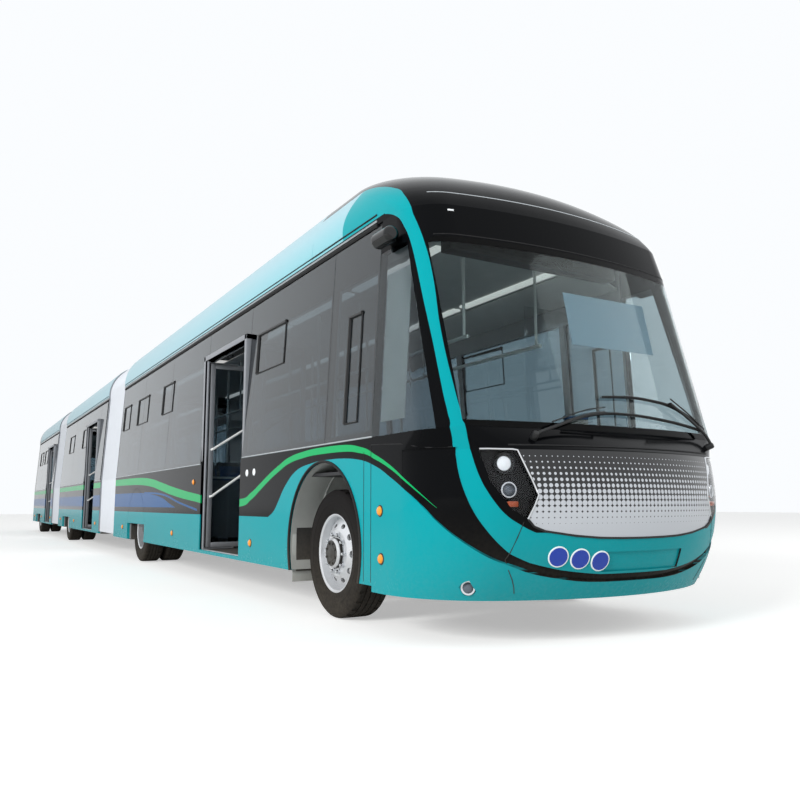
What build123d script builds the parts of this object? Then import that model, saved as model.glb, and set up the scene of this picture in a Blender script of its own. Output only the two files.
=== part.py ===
from build123d import *
from math import sqrt, sin, cos, radians
import os

os.makedirs("parts", exist_ok=True)

# Double-articulated low-floor city bus: three cars, two bellows, doors on its right side.
# Millimetres. x forward, y to the left, z up; the ground is z = 0.

# Lengths along the bus, from the tip of the nose to the tail
FRONT_OVERHANG = 1980.0
FIRST_WHEELBASE = 6730.0
DRIVE_OVERHANG = 1750.0
BELLOWS_LENGTH = 1550.0
MIDDLE_LENGTH = 6150.0
MIDDLE_AXLE_SETBACK = 4680.0
REAR_LENGTH = 5370.0
REAR_AXLE_SETBACK = 3570.0
REAR_CAP_LENGTH = 420.0
NOSE_SEAM = 780.0
CAP_SEAM = -450.0

# Cross-section of the body
WIDTH = 2550.0
SKIRT_Z = 311.0
BELT_Z = 1290.0
DRIP_Z = 2833.0
DRIP_HALF = 1190.0
COVE_Y = 600.0
COVE_Z = 2920.0
ROOF_Z = 3460.0
WALL = 60.0
GLASS = 8.0
SEAM = 6.0
FIT = 0.3

# Floor and wheel boxes
FLOOR_Z = 345.0
FLOOR_THICKNESS = 45.0
BOX_PLATE = 25.0
BOX_TOP_Z = 1060.0

# Wheels: 275/70 R22.5 tyres
TYRE_R = 478.5
TYRE_WIDTH = 275.0
BEAD_R = 286.0
BEAD_WIDTH = 222.0
SHOULDER_R = 40.0
RIM_PLATE = 12.0
FRONT_TRACK_HALF = 1050.0
TWIN_OUTER_HALF = 1062.0
TWIN_SPACING = 312.0
VENT_COUNT = 10

# Window band
SILL_Z = 1340.0
HEAD_Z = 2500.0
PANE_BOTTOM_Z = BELT_Z + 4.0
PANE_TOP_Z = DRIP_Z - 30.0
PILLAR = 70.0

# Doors: two leaves that glide inward on a turning column each
DOOR_WIDTH = 1360.0
DOOR_TOP_Z = 2480.0
LEAF_BOTTOM_Z = 368.0
LEAF_TOP_Z = 2452.0
LEAF_THICKNESS = 36.0
LEAF_FACE = 1252.0
LEAF_FRAME = 55.0
COLUMN_R = 16.0
COLUMN_GAP = 10.0
ARM_THICKNESS = 12.0
ARM_WIDTH = 36.0
PIN_R = 7.0

# Articulation
TURNTABLE_R = 740.0
TONGUE_HALF = 480.0
TURNTABLE_GAP = 8.0
LOWER_RING_Z = 235.0
LOWER_RING_THICKNESS = 50.0
PIVOT_PIN_R = 60.0

# Openings of the nose, seen from the front
SCREEN_GLASS = 10.0
GRILLE_DEPTH = 34.0
SCREEN_BACK = 900.0
SCREEN_BOTTOM_Z = 1305.0
SCREEN_TOP_Z = 2585.0
SCREEN_BOTTOM_HALF = 1106.0
SCREEN_TOP_HALF = 1122.0
SCREEN_CORNER = 45.0
BUMPER_HALF = 890.0
PRISM_INNER = 1000.0

# Outlines of half the nose, as y and z from the top down
LAMP_OUTLINE = ((837.0, 1162.0), (1037.0, 1162.0), (997.0, 971.0), (890.0, 809.0), (809.0, 763.0), (748.0, 896.0))
GRILLE_OUTLINE = ((829.0, 1165.0), (740.0, 896.0), (800.0, 752.0), (766.0, 711.0), (700.0, 684.0), (508.0, 655.0),
                  (345.0, 641.0), (0.0, 635.0))
QUARTER_BOTTOM = 1500.0
QUARTER_TOP = 1115.0

# Carved step round the nose: the bulge above it and the lip below it, as x ahead of the front axle and z
STEP_DEPTH = 20.0
STEP_UPPER = ((1180.0, 1182.0), (1572.0, 1182.0), (1595.0, 1044.0), (1621.0, 926.0), (1650.0, 838.0),
              (1676.0, 752.0), (1703.0, 671.0), (1725.0, 608.0), (1742.0, 555.0), (1773.0, 501.0),
              (1818.0, 456.0), (1864.0, 423.0), (1990.0, 412.0))
STEP_LOWER = ((1990.0, 370.0), (1850.0, 372.0), (1794.0, 403.0), (1750.0, 441.0), (1720.0, 485.0), (1683.0, 520.0),
              (1645.0, 561.0), (1590.0, 618.0), (1525.0, 681.0), (1446.0, 756.0), (1349.0, 845.0),
              (1211.0, 931.0), (1180.0, 946.0))
PLATE_DEPTH = 14.0
PLATE_Y = (-285.0, 405.0)
PLATE_Z = (436.0, 557.0)
FOG_PLACE = (1526.0, 1027.0, 351.0)
FOG_TURN = 41.6
FOG_R = 46.0
FOG_DEPTH = 30.0

# Side walls
COVE_MID = 27.0
DOOR_POST = 40.0
END_FRAME = 60.0
B_PILLAR = 20.0
PORTAL_FACE = 1262.0
PORTAL_INNER = 1190.0
PORTAL_RAIL = 55.0
HEADER_Z = DOOR_TOP_Z + 60.0
DOOR_1_SETBACK = 2620.0
DOOR_2_SETBACK = 1450.0
DOOR_3_SETBACK = 1140.0
ARCH_R = 600.0
COVER_Z = 560.0
GROOVE = 8.0
FRONT_ARCH_R = 650.0
FRONT_ARCH_X = -20.0
FRONT_ARCH_Z = 520.0
TWIN_BOX_INNER = 480.0
TWIN_BOX_HALF = 560.0
FRONT_BOX_INNER = 560.0
FRONT_BOX_HALF = 640.0
NOSE_DECK_GAP = 5.0

# Roof equipment well
ROOF_PLATE = 40.0
WELL_END = 250.0
WELL_HALF = 760.0
WELL_Z = 3230.0
POD_LENGTH = 1900.0
POD_HALF = 640.0
POD_Z = 3400.0

# Towing pin holes in the floor frame
TOW_R = 21.0
TOW_OVERHANG = 1500.0
TOW_SETBACK = 220.0

# Turntable
RIM_START = 60.0
SILL_HALF = 1000.0
RISER_LENGTH = 300.0
LOWER_TONGUE_HALF = 450.0
PIN_GAP = 1.0

# Bellows
BELLOWS_INSET = 20.0
BELLOWS_THICKNESS = 50.0
BELLOWS_Z = 340.0

# Tail
TAIL_ROUND = 150.0
TAIL_WINDOW_HALF = 900.0
TAIL_WINDOW_Z = (1500.0, 2450.0)
TAIL_PANE_INSET = 4.0
TAIL_LAMP_Y = (900.0, 1080.0)
TAIL_LAMP_Z = (800.0, 1200.0)
LAMP_DEPTH = 40.0

# Seats and dashboard
SEAT_INNER = 330.0
SEAT_OUTER = 1190.0
SEAT_TOP = 440.0
SEAT_DEPTH = 450.0
CUSHION = 90.0
PEDESTAL = 180.0
BACK_TOP = 1050.0
BACK_THICKNESS = 70.0
BACK_LEAN = 90.0
DRIVER_SEAT = 730.0
DRIVER_INNER = 450.0
DRIVER_OUTER = 950.0
DRIVER_Y = 700.0
DASH_BOTTOM_Z = 800.0
DASH_TOP_Z = 1160.0
DASH_GAP = 25.0
DASH_BACK = 640.0
DASH_SHELF = 120.0
DASH_FOOT = 100.0
DASH_FOOT_HALF = 400.0
WHEEL_TILT = 35.0
STEERING_WHEEL_R = 220.0

# Axles and knuckles
AXLE_Z = TYRE_R
BEAM_Z = (205.0, 285.0)
FRONT_LEG_Y = (600.0, 690.0)
TWIN_LEG_Y = (500.0, 585.0)
SPINDLE_R = 55.0
SPINDLE_END = 1150.0
SPRING_R = 42.0
KINGPIN_Y = 945.0
KINGPIN_R = 18.0
KINGPIN_EYE_R = 34.0
KINGPIN_EYE_Z = (AXLE_Z - 45.0, AXLE_Z + 45.0)
FORK_GAP = 5.0
FORK_PLATE = 22.0
FORK_REACH = 40.0
FORK_WEB = 62.0
STUB_R = 36.0
STUB_LENGTH = 170.0

# Rims
RIM_FLANGE = 8.0
RIM_LIP = 14.0
RIM_DISH = 60.0
DISC_FLAT_R = 170.0
HUB_R = 110.0
VENT_R = 208.0
VENT_SIZE = (34.0, 52.0)
FRONT_DISC = 105.0
FRONT_HUB_OUT = 150.0
FRONT_HUB_LENGTH = 60.0
TWIN_DISC = 157.0
TWIN_HUB = (-70.0, 225.0)
DISC_PLATE = 18.0
HUB_CHAMFER = 15.0
VENT_REACH = 118.0

# Mirrors and door details
MIRROR_X = 965.0
MIRROR_Z = 2615.0
MIRROR_REACH = 78.0
MIRROR_LENGTH = 230.0
MIRROR_R = 58.0
MIRROR_ROUND = 34.0
MIRROR_ARM = (62.0, 44.0)
DOOR_MEETING_GAP = 10.0
ARM_GAP = 4.0
LEAF_GLASS = 8.0
PIN_DEPTH = 16.0
PIN_LENGTH = 26.0

# Places along x, worked out from the lengths above
TOTAL_LENGTH = (FRONT_OVERHANG + FIRST_WHEELBASE + DRIVE_OVERHANG + MIDDLE_LENGTH + REAR_LENGTH
                + 2 * BELLOWS_LENGTH)
NOSE_TIP_X = TOTAL_LENGTH / 2
FRONT_AXLE_X = NOSE_TIP_X - FRONT_OVERHANG
DRIVE_AXLE_X = FRONT_AXLE_X - FIRST_WHEELBASE
FRONT_END_X = DRIVE_AXLE_X - DRIVE_OVERHANG
MIDDLE_START_X = FRONT_END_X - BELLOWS_LENGTH
MIDDLE_AXLE_X = MIDDLE_START_X - MIDDLE_AXLE_SETBACK
MIDDLE_END_X = MIDDLE_START_X - MIDDLE_LENGTH
REAR_START_X = MIDDLE_END_X - BELLOWS_LENGTH
REAR_AXLE_X = REAR_START_X - REAR_AXLE_SETBACK
TAIL_X = REAR_START_X - REAR_LENGTH
REAR_SEAM_X = TAIL_X + REAR_CAP_LENGTH
NOSE_SEAM_X = FRONT_AXLE_X + NOSE_SEAM
CAP_SEAM_X = FRONT_AXLE_X + CAP_SEAM
PIVOT_1_X = FRONT_END_X - BELLOWS_LENGTH / 2
PIVOT_2_X = MIDDLE_END_X - BELLOWS_LENGTH / 2

HALF = WIDTH / 2
COVE_R = sqrt((DRIP_HALF - COVE_Y) ** 2 + (DRIP_Z - COVE_Z) ** 2)
RIGHT = -1
LEFT = 1


def half_width(z):
    """Half the body's width at a height."""
    if z <= BELT_Z:
        return HALF
    if z <= DRIP_Z:
        return HALF - (HALF - DRIP_HALF) * (z - BELT_Z) / (DRIP_Z - BELT_Z)
    return COVE_Y + sqrt(COVE_R ** 2 - (z - COVE_Z) ** 2)


def save(part, label):
    part.label = label
    export_step(part, f"parts/{label}.step")


# Plan slices of the nose: height, tip ahead of the front axle, bow radius, corner radius
NOSE_LOWER = (
    (272.0, 1800.0, 1900.0, 740.0),
    (640.0, 1960.0, 2100.0, 720.0),
    (950.0, 1980.0, 2200.0, 700.0),
    (1170.0, 1925.0, 2400.0, 660.0),
)
NOSE_HOOD = (
    (1170.0, 1925.0, 2400.0, 660.0),
    (1300.0, 1765.0, 4500.0, 330.0),
)
NOSE_SCREEN = (
    (1300.0, 1765.0, 4500.0, 330.0),
    (2600.0, 1450.0, 4500.0, 330.0),
    (DRIP_Z, 1380.0, 4200.0, 320.0),
)
NOSE_CAP = (
    (DRIP_Z, 1380.0, 4200.0, 320.0),
    (3050.0, 1220.0, 3200.0, 470.0),
    (3250.0, 930.0, 2300.0, 600.0),
    (3380.0, 610.0, 2000.0, 560.0),
    (ROOF_Z, 250.0, 1800.0, 420.0),
)


def nose_slice(z, tip, bow_r, corner_r, inset, back_x):
    """Closed plan outline of the nose at one height, drawn inset from the outer skin."""
    half = half_width(z) - inset
    tip_x = FRONT_AXLE_X + tip - inset
    bow = bow_r - inset
    corner = corner_r - inset
    bow_x = tip_x - bow
    corner_x = bow_x + sqrt((bow - corner) ** 2 - (half - corner) ** 2)
    reach = bow / (bow - corner)
    meet = (bow_x + (corner_x - bow_x) * reach, (half - corner) * reach)
    with BuildSketch(Plane.XY.offset(z)) as outline:
        with BuildLine():
            Line((back_x, half), (corner_x, half))
            TangentArc((corner_x, half), meet, tangent=(1, 0))
            ThreePointArc(meet, (tip_x, 0), (meet[0], -meet[1]))
            TangentArc((corner_x, -half), (meet[0], -meet[1]), tangent=(1, 0))
            Line((corner_x, -half), (back_x, -half))
            Line((back_x, -half), (back_x, half))
        make_face()
    return outline.sketch


def nose_body(table, inset, back_x, ruled=False):
    """Solid of the nose between the first and last slice of a table."""
    slices = [nose_slice(*row, inset, back_x) for row in table]
    with BuildPart() as body:
        loft(slices, ruled=ruled)
    return body.part


def nose_solid(inset):
    """The whole lower nose, from the bumper's foot to the drip rail."""
    back_x = NOSE_SEAM_X
    with BuildPart() as nose:
        add(nose_body(NOSE_LOWER, inset, back_x))
        add(nose_body(NOSE_HOOD, inset, back_x, ruled=True))
        add(nose_body(NOSE_SCREEN, inset, back_x, ruled=True))
    return nose.part



NOSE_OUTER = nose_solid(0)
NOSE_INNER = nose_solid(WALL)
NOSE_GLASS = nose_solid(SCREEN_GLASS)
NOSE_PANEL = nose_solid(GRILLE_DEPTH)


def across(x):
    """Plane across the bus, with y to its right and z up."""
    return Plane(origin=(x, 0, 0), x_dir=(0, 1, 0), z_dir=(1, 0, 0))


def along(y):
    """Plane along the bus, with x to its right and z up."""
    return Plane(origin=(0, y, 0), x_dir=(1, 0, 0), z_dir=(0, -1, 0))


def block(x, y, z):
    """Box between two x, two y and two z values."""
    centre = ((x[0] + x[1]) / 2, (y[0] + y[1]) / 2, (z[0] + z[1]) / 2)
    with Locations(centre):
        return Box(abs(x[1] - x[0]), abs(y[1] - y[0]), abs(z[1] - z[0]))


def cut_block(x, y, z):
    centre = ((x[0] + x[1]) / 2, (y[0] + y[1]) / 2, (z[0] + z[1]) / 2)
    with Locations(centre):
        return Box(abs(x[1] - x[0]), abs(y[1] - y[0]), abs(z[1] - z[0]), mode=Mode.SUBTRACT)


def front_prism(points, back_x, corner=0):
    """Prism along x through the nose, from an outline in y and z."""
    with BuildPart() as prism:
        with BuildSketch(across(back_x)) as outline:
            with BuildLine():
                Polyline(*points, close=True)
            make_face()
            if corner:
                fillet(outline.vertices(), corner)
        extrude(amount=NOSE_TIP_X + 50 - back_x)
    return prism.part


def side_prism(points, side):
    """Prism along y through one side, from an outline in x and z."""
    with BuildPart() as prism:
        with BuildSketch(along(side * PRISM_INNER)):
            with BuildLine():
                Polyline(*points, close=True)
            make_face()
        extrude(amount=-side * (HALF + 50 - PRISM_INNER))
    return prism.part


# Front openings
screen_back_x = FRONT_AXLE_X + SCREEN_BACK
screen_points = [(-SCREEN_BOTTOM_HALF, SCREEN_BOTTOM_Z), (SCREEN_BOTTOM_HALF, SCREEN_BOTTOM_Z),
                 (SCREEN_TOP_HALF, SCREEN_TOP_Z), (-SCREEN_TOP_HALF, SCREEN_TOP_Z)]
screen_prism = front_prism(screen_points, screen_back_x, SCREEN_CORNER)
grille_left = [(-y, z) for y, z in GRILLE_OUTLINE]
grille_right = [(y, z) for y, z in reversed(GRILLE_OUTLINE[:-1])]
grille_prism = front_prism(grille_left + grille_right, screen_back_x)
bumper_top_z = GRILLE_OUTLINE[2][1] - SEAM
bumper_points = [(-BUMPER_HALF, 0), (-BUMPER_HALF, bumper_top_z), (BUMPER_HALF, bumper_top_z), (BUMPER_HALF, 0)]
bumper_prism = front_prism(bumper_points, screen_back_x)


def lamp_points(side):
    return [(side * y, z) for y, z in LAMP_OUTLINE]


def quarter_points():
    return [(NOSE_SEAM_X, PANE_BOTTOM_Z), (FRONT_AXLE_X + QUARTER_BOTTOM, PANE_BOTTOM_Z),
            (FRONT_AXLE_X + QUARTER_TOP, SCREEN_TOP_Z), (NOSE_SEAM_X, SCREEN_TOP_Z)]


def sunk(depth):
    """The nose moved back, so that what is cut down to it fades out along the flanks."""
    return NOSE_OUTER.moved(Location((-depth, 0, 0)))


with BuildPart() as front_step:
    with BuildSketch(along(-HALF - 50)):
        with BuildLine():
            Polyline(*[(FRONT_AXLE_X + x, z) for x, z in STEP_UPPER + STEP_LOWER], close=True)
        make_face()
    extrude(amount=-WIDTH - 100)
    add(sunk(STEP_DEPTH), mode=Mode.SUBTRACT)

with BuildPart() as plate_pocket:
    block((screen_back_x, NOSE_TIP_X + 50), PLATE_Y, PLATE_Z)
    add(sunk(PLATE_DEPTH), mode=Mode.SUBTRACT)

with BuildPart() as fog_pockets:
    for side in (RIGHT, LEFT):
        spot = (FRONT_AXLE_X + FOG_PLACE[0], side * FOG_PLACE[1], FOG_PLACE[2])
        with Locations(Location(spot, (0, 90, side * FOG_TURN))):
            Cylinder(FOG_R, 2 * FOG_DEPTH)

with BuildPart() as windscreen:
    add(NOSE_OUTER)
    add(NOSE_GLASS, mode=Mode.SUBTRACT)
    add(screen_prism, mode=Mode.INTERSECT)
save(windscreen.part, "windscreen")

with BuildPart() as grille_panel:
    add(NOSE_OUTER)
    add(NOSE_PANEL, mode=Mode.SUBTRACT)
    add(grille_prism, mode=Mode.INTERSECT)
save(grille_panel.part, "grille_panel")

with BuildPart() as front_bumper:
    add(NOSE_OUTER)
    add(NOSE_INNER, mode=Mode.SUBTRACT)
    add(bumper_prism, mode=Mode.INTERSECT)
    add(grille_prism, mode=Mode.SUBTRACT)
    add(front_step.part, mode=Mode.SUBTRACT)
    add(plate_pocket.part, mode=Mode.SUBTRACT)
save(front_bumper.part, "front_bumper")

with BuildPart() as headlamps:
    for side in (RIGHT, LEFT):
        add(front_prism(lamp_points(side), screen_back_x))
    add(NOSE_OUTER, mode=Mode.INTERSECT)
    add(NOSE_PANEL, mode=Mode.SUBTRACT)
save(headlamps.part, "headlamps")

with BuildPart() as nose_mask:
    add(NOSE_OUTER)
    add(NOSE_INNER, mode=Mode.SUBTRACT)
    add(screen_prism, mode=Mode.SUBTRACT)
    add(grille_prism, mode=Mode.SUBTRACT)
    add(bumper_prism, mode=Mode.SUBTRACT)
    for side in (RIGHT, LEFT):
        add(front_prism(lamp_points(side), screen_back_x), mode=Mode.SUBTRACT)
        add(side_prism(quarter_points(), side), mode=Mode.SUBTRACT)
    add(front_step.part, mode=Mode.SUBTRACT)
    add(fog_pockets.part, mode=Mode.SUBTRACT)
save(nose_mask.part, "nose_mask")

with BuildPart() as cap_core:
    add(nose_body(NOSE_CAP, ROOF_PLATE, CAP_SEAM_X))
    cut_block((CAP_SEAM_X - 10, NOSE_TIP_X), (-HALF, HALF), (DRIP_Z - 10, DRIP_Z + ROOF_PLATE))
    cut_block((CAP_SEAM_X - 10, NOSE_TIP_X), (-HALF, HALF), (ROOF_Z - ROOF_PLATE, ROOF_Z + 10))
with BuildPart() as roof_cap:
    add(nose_body(NOSE_CAP, 0, CAP_SEAM_X))
    add(cap_core.part, mode=Mode.SUBTRACT)
save(roof_cap.part, "roof_cap")

def car_solid(start_x, end_x, inset, bottom_z):
    """Solid of the body between two places, drawn inset from the outer skin."""
    cove_r = COVE_R - inset
    top_z = ROOF_Z - inset
    drip_y = COVE_Y + sqrt(cove_r ** 2 - (DRIP_Z - COVE_Z) ** 2)
    top_y = COVE_Y + sqrt(cove_r ** 2 - (top_z - COVE_Z) ** 2)
    mid = (COVE_Y + cove_r * cos(radians(COVE_MID)), COVE_Z + cove_r * sin(radians(COVE_MID)))
    with BuildPart() as solid:
        with BuildSketch(across(start_x)):
            with BuildLine():
                Polyline((-HALF + inset, BELT_Z), (-HALF + inset, bottom_z), (HALF - inset, bottom_z),
                         (HALF - inset, BELT_Z), (drip_y, DRIP_Z))
                ThreePointArc((drip_y, DRIP_Z), mid, (top_y, top_z))
                Line((top_y, top_z), (-top_y, top_z))
                ThreePointArc((-top_y, top_z), (-mid[0], mid[1]), (-drip_y, DRIP_Z))
                Line((-drip_y, DRIP_Z), (-HALF + inset, BELT_Z))
            make_face()
        extrude(amount=end_x - start_x)
    return solid.part


# The three cars: rear end, front end of the straight side walls, and the axles under them
CARS = {
    "front": (FRONT_END_X, NOSE_SEAM_X, (DRIVE_AXLE_X,)),
    "middle": (MIDDLE_END_X, MIDDLE_START_X, (MIDDLE_AXLE_X,)),
    "rear": (REAR_SEAM_X, REAR_START_X, (REAR_AXLE_X,)),
}
DOOR_X = {
    "front": FRONT_AXLE_X - DOOR_1_SETBACK,
    "middle": MIDDLE_START_X - DOOR_2_SETBACK,
    "rear": REAR_START_X - DOOR_3_SETBACK,
}

# Window panes: car, side, front end of the run, rear end of the run, count
door_front = {car: x + DOOR_WIDTH / 2 + DOOR_POST for car, x in DOOR_X.items()}
door_rear = {car: x - DOOR_WIDTH / 2 - DOOR_POST for car, x in DOOR_X.items()}
B_PILLAR_X = FRONT_AXLE_X + B_PILLAR
PANE_RUNS = (
    ("front", RIGHT, NOSE_SEAM_X, B_PILLAR_X, 1),
    ("front", RIGHT, B_PILLAR_X, door_front["front"], 1),
    ("front", RIGHT, door_rear["front"], FRONT_END_X + END_FRAME, 3),
    ("front", LEFT, NOSE_SEAM_X, B_PILLAR_X, 1),
    ("front", LEFT, B_PILLAR_X, FRONT_END_X + END_FRAME, 5),
    ("middle", RIGHT, MIDDLE_START_X - END_FRAME, door_front["middle"], 1),
    ("middle", RIGHT, door_rear["middle"], MIDDLE_END_X + END_FRAME, 2),
    ("middle", LEFT, MIDDLE_START_X - END_FRAME, MIDDLE_END_X + END_FRAME, 4),
    ("rear", RIGHT, REAR_START_X - END_FRAME, door_front["rear"], 1),
    ("rear", RIGHT, door_rear["rear"], REAR_SEAM_X, 2),
    ("rear", LEFT, REAR_START_X - END_FRAME, REAR_SEAM_X, 3),
)


def panes(car):
    """Each pane of one car: side, rear end, front end."""
    result = []
    for name, side, front, rear, count in PANE_RUNS:
        if name != car:
            continue
        length = (front - rear) / count
        for index in range(count):
            start = rear + index * length
            result.append((side, start, start + length))
    return result


for car, (rear_x, front_x, axles) in CARS.items():
    door_x = DOOR_X[car]
    with BuildPart() as side_walls:
        for side in (RIGHT, LEFT):
            with BuildSketch(across(rear_x)):
                with BuildLine():
                    Polyline((side * HALF, SKIRT_Z), (side * HALF, BELT_Z), (side * (HALF - GLASS), BELT_Z),
                             (side * (DRIP_HALF - GLASS), DRIP_Z), (side * (DRIP_HALF - WALL), DRIP_Z),
                             (side * (HALF - WALL), BELT_Z), (side * (HALF - WALL), SKIRT_Z), close=True)
                make_face()
            extrude(amount=front_x - rear_x)
        for side, start, end in panes(car):
            cut_block((start + PILLAR / 2, end - PILLAR / 2), (side * PRISM_INNER, side * (HALF + 10)),
                      (SILL_Z, HEAD_Z))
        block((door_x - DOOR_WIDTH / 2 - DOOR_POST, door_x + DOOR_WIDTH / 2 + DOOR_POST),
              (-PORTAL_FACE, -PORTAL_INNER), (BELT_Z - DOOR_POST, DOOR_TOP_Z + PORTAL_RAIL))
        cut_block((door_x - DOOR_WIDTH / 2, door_x + DOOR_WIDTH / 2), (-PRISM_INNER, -HALF - 10),
                  (FLOOR_Z, DOOR_TOP_Z))
        for side in (RIGHT, LEFT):
            for axle_x in axles:
                with BuildSketch(along(side * PRISM_INNER)):
                    with Locations((axle_x, AXLE_Z)):
                        Circle(ARCH_R)
                    with Locations((axle_x, COVER_Z)):
                        Rectangle(3 * ARCH_R, 2 * ARCH_R, align=(Align.CENTER, Align.MIN), mode=Mode.SUBTRACT)
                extrude(amount=-side * (HALF + 50 - PRISM_INNER), mode=Mode.SUBTRACT)
                with BuildSketch(along(side * (HALF - GROOVE))):
                    with Locations((axle_x, AXLE_Z)):
                        Circle(ARCH_R + SEAM)
                        Circle(ARCH_R, mode=Mode.SUBTRACT)
                extrude(amount=-side * 2 * GROOVE, mode=Mode.SUBTRACT)
            if car == "front":
                with BuildSketch(along(side * PRISM_INNER)):
                    with Locations((FRONT_AXLE_X + FRONT_ARCH_X, FRONT_ARCH_Z)):
                        Circle(FRONT_ARCH_R)
                extrude(amount=-side * (HALF + 50 - PRISM_INNER), mode=Mode.SUBTRACT)
    save(side_walls.part, f"side_walls_{car}")

    with BuildPart() as windows:
        for side, start, end in panes(car):
            with BuildSketch(across(start + SEAM / 2)):
                with BuildLine():
                    Polyline((side * half_width(PANE_BOTTOM_Z), PANE_BOTTOM_Z), (side * half_width(PANE_TOP_Z), PANE_TOP_Z),
                             (side * (half_width(PANE_TOP_Z) - GLASS), PANE_TOP_Z),
                             (side * (half_width(PANE_BOTTOM_Z) - GLASS), PANE_BOTTOM_Z), close=True)
                make_face()
            extrude(amount=end - start - SEAM)
        with BuildSketch(across(door_rear[car] + SEAM / 2)):
            with BuildLine():
                Polyline((-half_width(HEADER_Z), HEADER_Z), (-half_width(PANE_TOP_Z), PANE_TOP_Z),
                         (-half_width(PANE_TOP_Z) + GLASS, PANE_TOP_Z),
                         (-half_width(HEADER_Z) + GLASS, HEADER_Z), close=True)
            make_face()
        extrude(amount=door_front[car] - door_rear[car] - SEAM)
        if car == "front":
            for side in (RIGHT, LEFT):
                with BuildPart(mode=Mode.PRIVATE) as quarter:
                    add(NOSE_OUTER)
                    add(NOSE_GLASS, mode=Mode.SUBTRACT)
                    add(side_prism(quarter_points(), side), mode=Mode.INTERSECT)
                add(quarter.part)
        if car == "rear":
            block((TAIL_X + TAIL_PANE_INSET, TAIL_X + TAIL_PANE_INSET + GLASS),
                  (-TAIL_WINDOW_HALF + FIT, TAIL_WINDOW_HALF - FIT), (TAIL_WINDOW_Z[0] + FIT, TAIL_WINDOW_Z[1] - FIT))
    save(windows.part, f"windows_{car}")

    roof_front_x = CAP_SEAM_X if car == "front" else front_x
    roof_rear_x = TAIL_X + REAR_CAP_LENGTH if car == "rear" else rear_x
    with BuildPart() as roof:
        add(car_solid(roof_rear_x, roof_front_x, 0, SKIRT_Z))
        cut_block((roof_rear_x - 10, roof_front_x + 10), (-HALF - 10, HALF + 10), (0, DRIP_Z))
        cut_block((roof_rear_x + WELL_END, roof_front_x - WELL_END), (-WELL_HALF, WELL_HALF), (WELL_Z, ROOF_Z + 10))
        block((roof_rear_x + 2 * WELL_END, roof_rear_x + 2 * WELL_END + POD_LENGTH), (-POD_HALF, POD_HALF),
              (WELL_Z, POD_Z))
        block((roof_front_x - 2 * WELL_END - POD_LENGTH, roof_front_x - 2 * WELL_END), (-POD_HALF, POD_HALF),
              (WELL_Z, POD_Z))
        with BuildPart(mode=Mode.PRIVATE) as roof_core:
            add(car_solid(roof_rear_x - 10, roof_front_x + 10, ROOF_PLATE, SKIRT_Z))
            cut_block((roof_rear_x - 20, roof_front_x + 20), (-HALF, HALF), (0, DRIP_Z + ROOF_PLATE))
            cut_block((roof_rear_x - 20, roof_front_x + 20), (-WELL_HALF - ROOF_PLATE, WELL_HALF + ROOF_PLATE),
                      (WELL_Z - ROOF_PLATE, ROOF_Z))
        add(roof_core.part, mode=Mode.SUBTRACT)
    save(roof.part, f"roof_{car}")

    boxes =[(axle_x, TWIN_BOX_INNER, TWIN_BOX_HALF) for axle_x in axles]
    if car == "front":
        boxes.append((FRONT_AXLE_X, FRONT_BOX_INNER, FRONT_BOX_HALF))
    deck_half = HALF - WALL
    deck_rear_x = TAIL_X + WALL if car == "rear" else rear_x
    with BuildPart() as chassis:
        block((deck_rear_x, front_x), (-deck_half, deck_half), (FLOOR_Z - FLOOR_THICKNESS, FLOOR_Z))
        if car == "front":
            add(nose_slice(FLOOR_Z - FLOOR_THICKNESS, *NOSE_LOWER[0][1:], WALL + NOSE_DECK_GAP, NOSE_SEAM_X))
            extrude(amount=FLOOR_THICKNESS)
        for axle_x, inner, half_length in boxes:
            for side in (RIGHT, LEFT):
                block((axle_x - half_length - BOX_PLATE, axle_x + half_length + BOX_PLATE),
                      (side * (inner - BOX_PLATE), side * deck_half),
                      (FLOOR_Z - FLOOR_THICKNESS, BOX_TOP_Z + BOX_PLATE))
                cut_block((axle_x - half_length, axle_x + half_length), (side * inner, side * (deck_half + 10)),
                          (0, BOX_TOP_Z))
        if car in ("front", "middle"):
            end_x = rear_x
            pivot_x = PIVOT_1_X if car == "front" else PIVOT_2_X
            block((pivot_x + RIM_START, end_x), (-SILL_HALF, SILL_HALF), (FLOOR_Z - FLOOR_THICKNESS, FLOOR_Z))
            with Locations((pivot_x, 0, FLOOR_Z)):
                Cylinder(TURNTABLE_R + TURNTABLE_GAP, 3 * FLOOR_THICKNESS, mode=Mode.SUBTRACT)
            block((end_x, end_x + RISER_LENGTH), (-LOWER_TONGUE_HALF, LOWER_TONGUE_HALF),
                  (LOWER_RING_Z, FLOOR_Z - FLOOR_THICKNESS))
            block((pivot_x, end_x + RISER_LENGTH), (-LOWER_TONGUE_HALF, LOWER_TONGUE_HALF),
                  (LOWER_RING_Z, LOWER_RING_Z + LOWER_RING_THICKNESS))
            with Locations((pivot_x, 0, LOWER_RING_Z + LOWER_RING_THICKNESS / 2)):
                Cylinder(LOWER_TONGUE_HALF, LOWER_RING_THICKNESS)
                Cylinder(PIVOT_PIN_R + PIN_GAP, 3 * LOWER_RING_THICKNESS, mode=Mode.SUBTRACT)
        if car in ("middle", "rear"):
            pivot_x = PIVOT_1_X if car == "middle" else PIVOT_2_X
            with Locations((pivot_x, 0, FLOOR_Z - FLOOR_THICKNESS / 2)):
                Cylinder(TURNTABLE_R, FLOOR_THICKNESS)
            block((front_x, pivot_x), (-TONGUE_HALF, TONGUE_HALF), (FLOOR_Z - FLOOR_THICKNESS, FLOOR_Z))
            with Locations((pivot_x, 0, (LOWER_RING_Z + FLOOR_Z) / 2)):
                Cylinder(PIVOT_PIN_R, FLOOR_Z - LOWER_RING_Z)
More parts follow.
